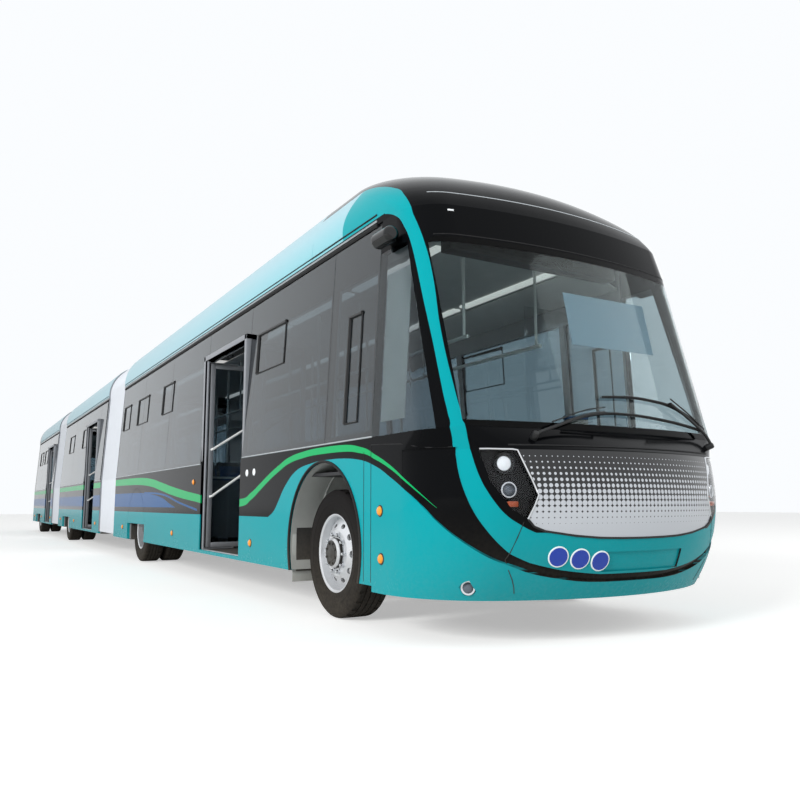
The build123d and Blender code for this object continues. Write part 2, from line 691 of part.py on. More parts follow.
        tow_x = {"front": FRONT_AXLE_X + TOW_OVERHANG, "rear": TAIL_X + TOW_SETBACK}.get(car)
        if tow_x is not None:
            with Locations((tow_x, 0, FLOOR_Z - FLOOR_THICKNESS / 2)):
                Cylinder(TOW_R, 2 * FLOOR_THICKNESS, mode=Mode.SUBTRACT)
    save(chassis.part, f"chassis_{car}")

# Bellows: a sleeve over the sides and roof between two cars
BELLOWS = {
    "bellows_1": (MIDDLE_START_X, FRONT_END_X),
    "bellows_2": (REAR_START_X, MIDDLE_END_X),
}
for name, (rear_x, front_x) in BELLOWS.items():
    with BuildPart() as bellows:
        add(car_solid(rear_x, front_x - FIT, BELLOWS_INSET, BELLOWS_Z))
        add(car_solid(rear_x - 10, front_x + 10, BELLOWS_INSET + BELLOWS_THICKNESS, 0), mode=Mode.SUBTRACT)
    save(bellows.part, name)

# Tail: the closed rear end with its window
with BuildPart() as tail_inside:
    add(car_solid(TAIL_X + WALL, REAR_SEAM_X + 10, WALL, 0))
    cut_block((TAIL_X, REAR_SEAM_X + 20), (-HALF, HALF), (DRIP_Z, ROOF_Z))

with BuildPart() as rear_cap:
    add(car_solid(TAIL_X, REAR_SEAM_X, 0, SKIRT_Z))
    tail_face = rear_cap.faces().sort_by(Axis.X)[0]
    tail_edges = tail_face.edges().sort_by(Axis.Z)[1:]
    fillet(tail_edges, TAIL_ROUND)
    add(tail_inside.part, mode=Mode.SUBTRACT)
    cut_block((TAIL_X - 10, TAIL_X + WALL + 10), (-TAIL_WINDOW_HALF, TAIL_WINDOW_HALF),
              (TAIL_WINDOW_Z[0], TAIL_WINDOW_Z[1]))
    for side in (RIGHT, LEFT):
        cut_block((TAIL_X - 10, TAIL_X + LAMP_DEPTH), (side * TAIL_LAMP_Y[0], side * TAIL_LAMP_Y[1]),
                  (TAIL_LAMP_Z[0], TAIL_LAMP_Z[1]))
save(rear_cap.part, "rear_cap")

with BuildPart() as tail_lamps:
    for side in (RIGHT, LEFT):
        block((TAIL_X, TAIL_X + LAMP_DEPTH), (side * (TAIL_LAMP_Y[0] + FIT), side * (TAIL_LAMP_Y[1] - FIT)),
              (TAIL_LAMP_Z[0] + FIT, TAIL_LAMP_Z[1] - FIT))
save(tail_lamps.part, "tail_lamps")

# Seats: car, side, x of the backrest's foot, facing forward
SEAT_ROWS = {
    "front": ((LEFT, -1500.0), (LEFT, -2280.0), (LEFT, -3060.0), (LEFT, -3840.0), (LEFT, -4620.0),
              (RIGHT, -4400.0), (RIGHT, -5180.0), (LEFT, -8100.0), (RIGHT, -8100.0)),
    "middle": ((LEFT, -10800.0), (LEFT, -11580.0), (LEFT, -12360.0), (LEFT, -13140.0), (RIGHT, -13140.0),
               (LEFT, -15900.0), (RIGHT, -15900.0)),
    "rear": ((LEFT, -18500.0), (LEFT, -19280.0), (LEFT, -20060.0), (RIGHT, -20400.0),
             (LEFT, -22700.0), (RIGHT, -22700.0)),
}


def seat(x, inner, outer):
    """Bench seat facing forward: pedestal, cushion and backrest in one."""
    with BuildPart() as bench:
        with BuildSketch(along(inner)):
            with BuildLine():
                Polyline((x, FLOOR_Z), (x, FLOOR_Z + SEAT_TOP), (x - BACK_LEAN, FLOOR_Z + BACK_TOP),
                         (x - BACK_LEAN + BACK_THICKNESS, FLOOR_Z + BACK_TOP),
                         (x + BACK_THICKNESS, FLOOR_Z + SEAT_TOP), (x + SEAT_DEPTH, FLOOR_Z + SEAT_TOP),
                         (x + SEAT_DEPTH, FLOOR_Z + SEAT_TOP - CUSHION),
                         (x + PEDESTAL, FLOOR_Z + SEAT_TOP - CUSHION), (x + PEDESTAL, FLOOR_Z), close=True)
            make_face()
        extrude(amount=-(outer - inner))
    return bench.part


for car, rows in SEAT_ROWS.items():
    with BuildPart() as seats:
        for side, x in rows:
            low, high = sorted((side * SEAT_INNER, side * SEAT_OUTER))
            add(seat(FRONT_AXLE_X + x, low, high))
        if car == "front":
            add(seat(FRONT_AXLE_X + DRIVER_SEAT, DRIVER_INNER, DRIVER_OUTER))
    save(seats.part, f"seats_{car}")

dash_x = NOSE_SEAM_X + DASH_BACK
with BuildPart() as dashboard:
    add(nose_slice(DASH_BOTTOM_Z, *NOSE_HOOD[0][1:], WALL + DASH_GAP, NOSE_SEAM_X))
    extrude(amount=DASH_TOP_Z - DASH_BOTTOM_Z)
    cut_block((NOSE_SEAM_X - 10, dash_x), (-HALF, HALF), (DASH_BOTTOM_Z - 10, DASH_TOP_Z + 10))
    cut_block((dash_x - 10, dash_x + DASH_SHELF), (-HALF, HALF), (DASH_BOTTOM_Z - 10, DASH_BOTTOM_Z + 200))
    block((dash_x + DASH_SHELF, dash_x + DASH_SHELF + DASH_FOOT), (-DASH_FOOT_HALF, DASH_FOOT_HALF),
          (FLOOR_Z, DASH_BOTTOM_Z + 10))
    with Locations(Location((dash_x - 20, DRIVER_Y, DASH_TOP_Z - 60), (0, -WHEEL_TILT, 0))):
        Cylinder(25, 260)
    with Locations(Location((dash_x - 75, DRIVER_Y, DASH_TOP_Z + 65), (0, -WHEEL_TILT, 0))):
        Torus(STEERING_WHEEL_R, 14)
        Box(2 * STEERING_WHEEL_R, 30, 16)
        Cylinder(50, 30)
save(dashboard.part, "dashboard")

# Camera mirrors: a rounded pod on a short arm from each pillar
with BuildPart() as camera_mirrors:
    for side in (RIGHT, LEFT):
        root = half_width(MIRROR_Z) + FIT
        pod_y = side * (root + MIRROR_REACH)
        pod_z = MIRROR_Z + MIRROR_ARM[1] / 2
        with BuildPart(mode=Mode.PRIVATE) as pod:
            with Locations(Location((FRONT_AXLE_X + MIRROR_X, pod_y, pod_z), (0, 90, 0))):
                Cylinder(MIRROR_R, MIRROR_LENGTH)
            fillet(pod.edges().filter_by(GeomType.CIRCLE), MIRROR_ROUND)
            block((FRONT_AXLE_X + MIRROR_X - MIRROR_ARM[0], FRONT_AXLE_X + MIRROR_X), (side * root, pod_y),
                  (MIRROR_Z, MIRROR_Z + MIRROR_ARM[1]))
        add(pod.part)
save(camera_mirrors.part, "camera_mirrors")

# Axles: a beam dropped below the floor, legs up beside the wheels and spindles through the hubs
with BuildPart() as axles_front:
    for side in (RIGHT, LEFT):
        block((FRONT_AXLE_X - 55, FRONT_AXLE_X + 55), (side * FRONT_LEG_Y[0], side * FRONT_LEG_Y[1]),
              (BEAM_Z[0], KINGPIN_EYE_Z[1]))
        block((FRONT_AXLE_X - 28, FRONT_AXLE_X + 28), (side * FRONT_LEG_Y[1], side * KINGPIN_Y), KINGPIN_EYE_Z)
        with Locations((FRONT_AXLE_X, side * KINGPIN_Y, AXLE_Z)):
            Cylinder(KINGPIN_EYE_R, KINGPIN_EYE_Z[1] - KINGPIN_EYE_Z[0])
            Cylinder(KINGPIN_R + PIN_GAP, 400, mode=Mode.SUBTRACT)
        with Locations((FRONT_AXLE_X, side * sum(FRONT_LEG_Y) / 2, (KINGPIN_EYE_Z[1] + BOX_TOP_Z) / 2)):
            Cylinder(SPRING_R, BOX_TOP_Z - KINGPIN_EYE_Z[1])
    block((FRONT_AXLE_X - 55, FRONT_AXLE_X + 55), (-FRONT_LEG_Y[0], FRONT_LEG_Y[0]), BEAM_Z)


def twin_axle(axle_x, housing):
    """Dropped beam axle with a spindle for twin wheels each side."""
    with BuildPart() as axle:
        block((axle_x - 70, axle_x + 70), (-TWIN_LEG_Y[0], TWIN_LEG_Y[0]), BEAM_Z)
        for side in (RIGHT, LEFT):
            block((axle_x - 70, axle_x + 70), (side * TWIN_LEG_Y[0], side * TWIN_LEG_Y[1]), (BEAM_Z[0], AXLE_Z + 70))
            spindle_middle = side * (TWIN_LEG_Y[1] + SPINDLE_END) / 2
            with Locations(Location((axle_x, spindle_middle, AXLE_Z), (90, 0, 0))):
                Cylinder(SPINDLE_R, SPINDLE_END - TWIN_LEG_Y[1])
            with Locations((axle_x, side * sum(TWIN_LEG_Y) / 2, (AXLE_Z + 70 + BOX_TOP_Z) / 2)):
                Cylinder(SPRING_R, BOX_TOP_Z - AXLE_Z - 70)
        if housing:
            block((axle_x - 190, axle_x + 190), (-200, 200), (BEAM_Z[0] - 10, BEAM_Z[1] + 5))
    return axle.part


with BuildPart() as front_axles:
    add(axles_front.part)
    add(twin_axle(DRIVE_AXLE_X, True))
save(front_axles.part, "axles_front")
save(twin_axle(MIDDLE_AXLE_X, True), "axle_middle")
save(twin_axle(REAR_AXLE_X, False), "axle_rear")

# Steering knuckles: a fork over the kingpin eye with the stub axle outboard
for side, name in ((RIGHT, "right"), (LEFT, "left")):
    with BuildPart() as knuckle:
        for z in (KINGPIN_EYE_Z[0] - FORK_GAP - FORK_PLATE, KINGPIN_EYE_Z[1] + FORK_GAP):
            with Locations((FRONT_AXLE_X, side * KINGPIN_Y, z + FORK_PLATE / 2)):
                Cylinder(KINGPIN_EYE_R, FORK_PLATE)
            block((FRONT_AXLE_X - 34, FRONT_AXLE_X + 34), (side * KINGPIN_Y, side * (KINGPIN_Y + FORK_WEB)),
                  (z, z + FORK_PLATE))
        block((FRONT_AXLE_X - 34, FRONT_AXLE_X + 34),
              (side * (KINGPIN_Y + FORK_REACH), side * (KINGPIN_Y + FORK_WEB)),
              (KINGPIN_EYE_Z[0] - FORK_GAP, KINGPIN_EYE_Z[1] + FORK_GAP))
        with Locations((FRONT_AXLE_X, side * KINGPIN_Y, AXLE_Z)):
            Cylinder(KINGPIN_R, KINGPIN_EYE_Z[1] - KINGPIN_EYE_Z[0] + 2 * (FORK_GAP + FORK_PLATE))
        with Locations(Location((FRONT_AXLE_X, side * (KINGPIN_Y + FORK_WEB + STUB_LENGTH / 2), AXLE_Z), (90, 0, 0))):
            Cylinder(STUB_R, STUB_LENGTH)
    save(knuckle.part, f"knuckle_{name}")


def tyre(x, y):
    """Tyre with rounded shoulders."""
    half = TYRE_WIDTH / 2
    bead = BEAD_WIDTH / 2
    with BuildPart() as body:
        with BuildSketch(Plane.XY):
            with BuildLine():
                Polyline((-bead, BEAD_R + FIT), (bead, BEAD_R + FIT), (half, BEAD_R + 70), (half, TYRE_R - SHOULDER_R))
                RadiusArc((half, TYRE_R - SHOULDER_R), (half - SHOULDER_R, TYRE_R), -SHOULDER_R)
                Line((half - SHOULDER_R, TYRE_R), (-half + SHOULDER_R, TYRE_R))
                RadiusArc((-half + SHOULDER_R, TYRE_R), (-half, TYRE_R - SHOULDER_R), -SHOULDER_R)
                Polyline((-half, TYRE_R - SHOULDER_R), (-half, BEAD_R + 70), (-bead, BEAD_R + FIT))
            make_face()
        revolve(axis=Axis.X)
    return body.part.moved(Location((x, y, AXLE_Z), (0, 0, 90)))


def barrel_points(centre):
    """Section of a rim's barrel, as offset and radius."""
    bead = BEAD_WIDTH / 2
    flange = bead + RIM_FLANGE
    return [(centre - flange, BEAD_R + RIM_LIP), (centre - bead, BEAD_R), (centre + bead, BEAD_R),
            (centre + flange, BEAD_R + RIM_LIP), (centre + flange, BEAD_R), (centre + bead, BEAD_R - RIM_PLATE),
            (centre - bead, BEAD_R - RIM_PLATE), (centre - flange, BEAD_R)]


def disc_points(centre, way, disc, bore):
    """Section of a rim's dished disc, whose flat lies disc away from the rim's centre."""
    flat = centre + way * disc
    root = flat - way * RIM_DISH
    back = -way * DISC_PLATE
    edge = BEAD_R - RIM_PLATE / 2
    return [(root, edge), (flat, DISC_FLAT_R), (flat, bore), (flat + back, bore), (flat + back, DISC_FLAT_R),
            (root + back, edge)]


def hub_points(inner, outer, bore):
    """Section of a hub with a chamfered outer end."""
    return [(inner, HUB_R), (outer - HUB_CHAMFER, HUB_R), (outer, HUB_R - HUB_CHAMFER), (outer, bore), (inner, bore)]


def rim(x, y, side, sections):
    """Rim turned from its sections, with oval vents through the discs."""
    with BuildPart() as body:
        with BuildSketch(Plane.XY):
            for points in sections:
                with BuildLine():
                    Polyline(*points, close=True)
                make_face()
        revolve(axis=Axis.X)
        with BuildSketch(Plane.YZ.offset(-VENT_REACH)):
            with PolarLocations(VENT_R, VENT_COUNT):
                Ellipse(VENT_SIZE[0] / 2, VENT_SIZE[1] / 2)
        extrude(amount=2 * VENT_REACH, mode=Mode.SUBTRACT)
    return body.part.moved(Location((x, y, AXLE_Z), (0, 0, 90 * side)))


FRONT_BORE = STUB_R + PIN_GAP
FRONT_SECTIONS = (
    barrel_points(0),
    disc_points(0, 1, FRONT_DISC, FRONT_BORE),
    hub_points(FRONT_DISC - FRONT_HUB_LENGTH, FRONT_HUB_OUT, FRONT_BORE),
)
# Twin wheels: the two discs meet back to back, and the hub reaches out through the outer rim
TWIN_BORE = SPINDLE_R + PIN_GAP
TWIN_MIDDLE = TWIN_OUTER_HALF - TWIN_SPACING / 2
TWIN_SECTIONS = (
    barrel_points(TWIN_SPACING / 2),
    barrel_points(-TWIN_SPACING / 2),
    disc_points(TWIN_SPACING / 2, -1, TWIN_DISC, TWIN_BORE),
    disc_points(-TWIN_SPACING / 2, 1, TWIN_DISC, TWIN_BORE),
    hub_points(TWIN_HUB[0], TWIN_HUB[1], TWIN_BORE),
)

WHEELS = (
    ("front_right", RIGHT, FRONT_AXLE_X, True),
    ("front_left", LEFT, FRONT_AXLE_X, True),
    ("drive_right", RIGHT, DRIVE_AXLE_X, False),
    ("drive_left", LEFT, DRIVE_AXLE_X, False),
    ("middle_right", RIGHT, MIDDLE_AXLE_X, False),
    ("middle_left", LEFT, MIDDLE_AXLE_X, False),
    ("rear_right", RIGHT, REAR_AXLE_X, False),
    ("rear_left", LEFT, REAR_AXLE_X, False),
)
for name, side, axle_x, steered in WHEELS:
    if steered:
        save(tyre(axle_x, side * FRONT_TRACK_HALF), f"tyre_{name}")
        save(rim(axle_x, side * FRONT_TRACK_HALF, side, FRONT_SECTIONS), f"rim_{name}")
        continue
    with BuildPart() as twin_tyres:
        add(tyre(axle_x, side * TWIN_OUTER_HALF))
        add(tyre(axle_x, side * (TWIN_OUTER_HALF - TWIN_SPACING)))
    save(twin_tyres.part, f"tyres_{name}")
    save(rim(axle_x, side * TWIN_MIDDLE, side, TWIN_SECTIONS), f"rims_{name}")

# Door leaves, each carried at its middle by two arms of a turning column beside it.
# Drawn open: the leaf stands across the bus with its closing edge outboard.
LEAF_WIDTH = DOOR_WIDTH / 2 - 2 * COLUMN_R - 2 * COLUMN_GAP - DOOR_MEETING_GAP / 2
LEAF_LINE = -LEAF_FACE + LEAF_THICKNESS / 2
EDGE_GAP = COLUMN_R + COLUMN_GAP
ARM_LENGTH = LEAF_WIDTH / 2 + EDGE_GAP
TOP_ARM_Z = LEAF_TOP_Z + ARM_GAP
LOW_ARM_Z = LEAF_BOTTOM_Z - ARM_GAP - ARM_THICKNESS
for door, (car, door_x) in enumerate(DOOR_X.items(), start=1):
    for end, way in (("front", 1), ("rear", -1)):
        column_x = door_x + way * (DOOR_WIDTH / 2 - EDGE_GAP)
        leaf_y = LEAF_LINE + EDGE_GAP
        pin_y = LEAF_LINE + ARM_LENGTH
        with BuildPart() as leaf:
            block((column_x - LEAF_THICKNESS / 2, column_x + LEAF_THICKNESS / 2), (leaf_y, leaf_y + LEAF_WIDTH),
                  (LEAF_BOTTOM_Z, LEAF_TOP_Z))
            cut_block((column_x - LEAF_THICKNESS, column_x + LEAF_THICKNESS),
                      (leaf_y + LEAF_FRAME, leaf_y + LEAF_WIDTH - LEAF_FRAME),
                      (LEAF_BOTTOM_Z + LEAF_FRAME, LEAF_TOP_Z - LEAF_FRAME))
            block((column_x - LEAF_GLASS / 2, column_x + LEAF_GLASS / 2),
                  (leaf_y + LEAF_FRAME, leaf_y + LEAF_WIDTH - LEAF_FRAME),
                  (LEAF_BOTTOM_Z + LEAF_FRAME, LEAF_TOP_Z - LEAF_FRAME))
            with Locations((column_x, pin_y, LEAF_TOP_Z), (column_x, pin_y, LEAF_BOTTOM_Z)):
                Cylinder(PIN_R + PIN_GAP, 2 * PIN_DEPTH, mode=Mode.SUBTRACT)
        save(leaf.part, f"door_{door}_{end}_leaf")
        with BuildPart() as column:
            column_top = DOOR_TOP_Z - FIT
            with Locations((column_x, LEAF_LINE, (FLOOR_Z + FIT + column_top) / 2)):
                Cylinder(COLUMN_R, column_top - FLOOR_Z - FIT)
            for z, reach in ((TOP_ARM_Z, -1), (LOW_ARM_Z, 1)):
                block((column_x - ARM_WIDTH / 2, column_x + ARM_WIDTH / 2), (LEAF_LINE, pin_y),
                      (z, z + ARM_THICKNESS))
                with Locations((column_x, pin_y, z + ARM_THICKNESS / 2)):
                    Cylinder(ARM_WIDTH / 2, ARM_THICKNESS)
                with Locations((column_x, pin_y, z + ARM_THICKNESS / 2 + reach * PIN_LENGTH / 2)):
                    Cylinder(PIN_R, PIN_LENGTH)
        save(column.part, f"door_{door}_{end}_column")
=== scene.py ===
import math

import bmesh
import bpy
from mathutils import Matrix, Vector
from mathutils.bvhtree import BVHTree


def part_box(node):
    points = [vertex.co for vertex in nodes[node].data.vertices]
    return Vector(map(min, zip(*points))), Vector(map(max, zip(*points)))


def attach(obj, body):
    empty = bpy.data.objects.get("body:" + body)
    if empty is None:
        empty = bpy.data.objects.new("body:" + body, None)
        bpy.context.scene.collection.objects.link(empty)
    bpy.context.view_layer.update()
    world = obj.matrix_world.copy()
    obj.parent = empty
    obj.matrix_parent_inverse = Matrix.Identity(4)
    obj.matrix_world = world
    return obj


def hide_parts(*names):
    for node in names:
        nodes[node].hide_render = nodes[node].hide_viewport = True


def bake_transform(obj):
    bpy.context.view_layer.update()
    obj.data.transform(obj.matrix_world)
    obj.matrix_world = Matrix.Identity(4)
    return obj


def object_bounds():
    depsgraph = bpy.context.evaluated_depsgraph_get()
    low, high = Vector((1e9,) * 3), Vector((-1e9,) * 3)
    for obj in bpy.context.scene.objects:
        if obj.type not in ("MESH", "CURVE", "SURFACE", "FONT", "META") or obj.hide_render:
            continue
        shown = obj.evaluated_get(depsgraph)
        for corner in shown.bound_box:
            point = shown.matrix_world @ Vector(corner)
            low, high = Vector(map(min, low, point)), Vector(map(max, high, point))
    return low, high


# Double-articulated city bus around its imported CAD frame.
# Metres, in the CAD's own frame: x forward, y to the left, z up, the ground at z = 0.

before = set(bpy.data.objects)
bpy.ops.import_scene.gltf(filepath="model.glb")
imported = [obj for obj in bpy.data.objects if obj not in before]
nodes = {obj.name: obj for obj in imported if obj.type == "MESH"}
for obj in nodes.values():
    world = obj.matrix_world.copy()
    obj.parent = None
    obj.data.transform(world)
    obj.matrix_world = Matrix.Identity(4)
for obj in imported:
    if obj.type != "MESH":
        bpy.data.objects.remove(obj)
cad_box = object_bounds()


def middle_x(node):
    """Middle of a CAD node along the bus."""
    low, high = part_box(node)
    return (low.x + high.x) / 2


# Places taken from the frame
FRONT_AXLE = middle_x("tyre_front_right")
AXLE_Z = (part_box("tyre_front_right")[0].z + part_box("tyre_front_right")[1].z) / 2
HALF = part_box("side_walls_middle")[1].y
BELT_Z = 1.290
DRIP_Z = 2.833
ROOF_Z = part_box("roof_middle")[1].z
FLOOR_TOP = 0.345
TAIL = cad_box[0].x
RIGHT = -1
LEFT = 1
SIDES = (RIGHT, LEFT)
BOTH_WAYS = (-1, 1)
CARS = ("front", "middle", "rear")


# Colours, as linear red, green and blue
def srgb(red, green, blue):
    """Linear colour from the 0 to 255 values that a screen shows."""
    def linear(value):
        share = value / 255
        return share / 12.92 if share <= 0.04045 else ((share + 0.055) / 1.055) ** 2.4
    return (linear(red), linear(green), linear(blue), 1.0)


TEAL = srgb(0, 150, 158)
PIANO_BLACK = srgb(7, 8, 10)
STRIPE_GREEN = srgb(6, 166, 94)
STRIPE_BLUE = srgb(0, 78, 136)
ROOF_PALE = srgb(158, 194, 204)
RUBBER = srgb(24, 24, 25)
AMBER = srgb(255, 150, 12)
WHITE = (1.0, 1.0, 1.0, 1.0)


# Short calls for the nodes of a finish
def put(tree, kind, **inputs):
    """New node in a tree, with its named inputs set or linked."""
    node = tree.nodes.new(kind)
    for name, value in inputs.items():
        plug(tree, node.inputs[name.replace("_", " ")], value)
    return node


def plug(tree, socket, value):
    """Link a socket to another, or set its value."""
    if isinstance(value, bpy.types.NodeSocket):
        tree.links.new(value, socket)
    else:
        socket.default_value = value


def calc(tree, operation, first, second=0.0, third=0.0, clamp=False):
    """Result of a math node."""
    node = tree.nodes.new("ShaderNodeMath")
    node.operation = operation
    node.use_clamp = clamp
    for socket, value in zip(node.inputs, (first, second, third)):
        plug(tree, socket, value)
    return node.outputs[0]


def blend_colour(tree, share, first, second):
    """Colour between two, by a share from 0 to 1."""
    node = tree.nodes.new("ShaderNodeMix")
    node.data_type = "RGBA"
    plug(tree, node.inputs[0], share)
    plug(tree, node.inputs[6], first)
    plug(tree, node.inputs[7], second)
    return node.outputs[2]


def object_place(tree):
    """The x, y and z of a point of the piece."""
    place = put(tree, "ShaderNodeTexCoord").outputs["Object"]
    split = put(tree, "ShaderNodeSeparateXYZ", Vector=place)
    return place, split.outputs[0], split.outputs[1], split.outputs[2]


def noise(tree, place, scale, detail, roughness=0.5):
    """Cloudy value that changes over the surface."""
    return put(tree, "ShaderNodeTexNoise", Vector=place, Scale=scale, Detail=detail,
               Roughness=roughness).outputs["Fac"]


SOFT_EDGE = 0.002


def above(tree, value, limit):
    """1 where a value is over a limit, with an edge as sharp as cut film."""
    gap = calc(tree, "SUBTRACT", value, limit)
    return calc(tree, "MULTIPLY_ADD", gap, 1 / SOFT_EDGE, 0.5, clamp=True)


def both(tree, *masks):
    """Product of several masks."""
    result = masks[0]
    for mask in masks[1:]:
        result = calc(tree, "MULTIPLY", result, mask)
    return result


def outside(tree, mask):
    """1 where a mask is 0, and 0 where it is 1."""
    return calc(tree, "SUBTRACT", 1.0, mask)


def graph(tree, value, points):
    """A smooth line through named points, as a value of another value."""
    low_x, high_x = points[0][0], points[-1][0]
    low_y = min(y for _, y in points)
    high_y = max(y for _, y in points)
    span_x = high_x - low_x
    span_y = high_y - low_y
    node = tree.nodes.new("ShaderNodeFloatCurve")
    line = node.mapping.curves[0]
    for index, (x, y) in enumerate(points):
        spot = ((x - low_x) / span_x, (y - low_y) / span_y)
        if index < 2:
            line.points[index].location = spot
        else:
            line.points.new(*spot)
    for point in line.points:
        point.handle_type = "AUTO_CLAMPED"
    node.mapping.update()
    share = calc(tree, "SUBTRACT", value, low_x)
    plug(tree, node.inputs["Value"], calc(tree, "DIVIDE", share, span_x, clamp=True))
    return calc(tree, "MULTIPLY_ADD", node.outputs[0], span_y, low_y)


def new_group(name, outputs, inputs=()):
    """Empty shader group with named outputs and inputs."""
    group = bpy.data.node_groups.new(name, "ShaderNodeTree")
    for label, kind, value in inputs:
        socket = group.interface.new_socket(label, in_out="INPUT", socket_type=kind)
        socket.default_value = value
    for label, kind in outputs:
        group.interface.new_socket(label, in_out="OUTPUT", socket_type=kind)
    return group, group.nodes.new("NodeGroupInput"), group.nodes.new("NodeGroupOutput")


def use_group(tree, group, **inputs):
    """A group placed in a material."""
    node = tree.nodes.new("ShaderNodeGroup")
    node.node_tree = group
    for name, value in inputs.items():
        plug(tree, node.inputs[name.replace("_", " ")], value)
    return node


def new_finish(name):
    """Empty material with a Principled shader."""
    finish = bpy.data.materials.new(name)
    finish.use_nodes = True
    tree = finish.node_tree
    return finish, tree, tree.nodes["Principled BSDF"]


# Livery, as lines in metres. Distances are ahead of the front axle.
TEAL_TOP = ((-1.154, 0.733), (-1.035, 0.778), (-0.921, 0.864), (-0.811, 0.964), (-0.703, 1.037),
            (-0.597, 1.092), (-0.451, 1.136), (-0.251, 1.160), (0.0, 1.176), (0.25, 1.175), (0.607, 1.148),
            (0.825, 1.097), (1.028, 1.017), (1.211, 0.931), (1.349, 0.845), (1.446, 0.756), (1.525, 0.681),
            (1.590, 0.618), (1.645, 0.561), (1.683, 0.520), (1.720, 0.485), (1.750, 0.441), (1.794, 0.403),
            (1.850, 0.372), (1.990, 0.370))
BAND_REAR = ((0.423, 1.864), (0.456, 1.818), (0.501, 1.773), (0.526, 1.755), (0.555, 1.735),
             (0.608, 1.712), (0.671, 1.690), (0.787, 1.648), (0.888, 1.616), (1.007, 1.584),
             (1.094, 1.566), (1.172, 1.555), (1.239, 1.564), (1.299, 1.566), (1.388, 1.543),
             (1.479, 1.513), (1.666, 1.455), (1.858, 1.395), (2.139, 1.300), (2.280, 1.253),
             (2.406, 1.210), (2.529, 1.164), (2.632, 1.116), (2.703, 1.069), (2.768, 1.019),
             (2.807, 0.966), (2.851, 0.880), (2.875, 0.810))
BAND_FRONT = ((0.634, 0.608), (0.677, 0.750), (0.720, 0.836), (0.787, 0.927), (0.854, 0.977),
              (0.921, 1.013), (0.988, 1.039), (1.074, 1.059), (1.169, 1.072), (1.237, 1.087),
              (1.298, 1.095), (1.387, 1.105), (1.528, 1.118), (1.955, 1.135), (2.268, 1.127),
              (2.398, 1.128), (2.487, 1.132), (2.556, 1.137), (2.681, 1.146), (2.806, 1.155),
              (2.945, 1.146), (3.048, 1.125), (3.078, 1.124), (3.46, 1.05))
# Across the front, from the last rows of TEAL_TOP up to SLOT_TOP, the slot under the band stays black: the
# black crescent paint carried on into the slot as painted shade.
SLOT_TOP = 0.413
SIDE_SLOPE = 0.0551
LINING_DEPTH = 0.040
LINING_FRONT = 0.775
TAIL_LINING = TAIL + 0.045
LINING_GREY = srgb(150, 154, 158)
CAB_GREY = srgb(44, 46, 49)
NOSE_HEART = 0.90
GREEN_LINE = ((-8.46, 1.206), (-7.27, 1.196), (-6.53, 1.184), (-5.86, 1.152), (-5.25, 1.090),
              (-4.70, 1.027), (-3.96, 0.956), (-3.43, 0.916), (-2.60, 0.850), (-1.89, 0.861),
              (-1.64, 0.912), (-1.376, 1.000), (-1.127, 1.088), (-0.891, 1.158), (-0.668, 1.211),
              (-0.456, 1.234), (-0.064, 1.250), (0.288, 1.247), (0.606, 1.217), (0.825, 1.157),
              (1.028, 1.082), (1.208, 0.993), (1.350, 0.905), (1.459, 0.821))
GREEN_HALF = ((-8.46, 0.051), (-5.25, 0.054), (-3.43, 0.045), (-1.89, 0.036), (-0.668, 0.026),
              (0.288, 0.025), (0.825, 0.016), (1.208, 0.008), (1.459, 0.001))
BLUE_TOP = ((-8.46, 1.020), (-6.49, 1.013), (-5.83, 0.990), (-5.22, 0.943), (-4.67, 0.849), (-4.40, 0.806))
BLUE_BOTTOM = 0.806
BLUE_LINE = ((-6.2, 1.010), (-5.23, 0.983), (-4.18, 0.861), (-3.42, 0.781))
BLUE_HALF = 0.012
TAPER_END = 1.459
INWARD_EDGE = -0.02
CAP_TEAL_START = 0.133
GUTTER_TOP = 2.880


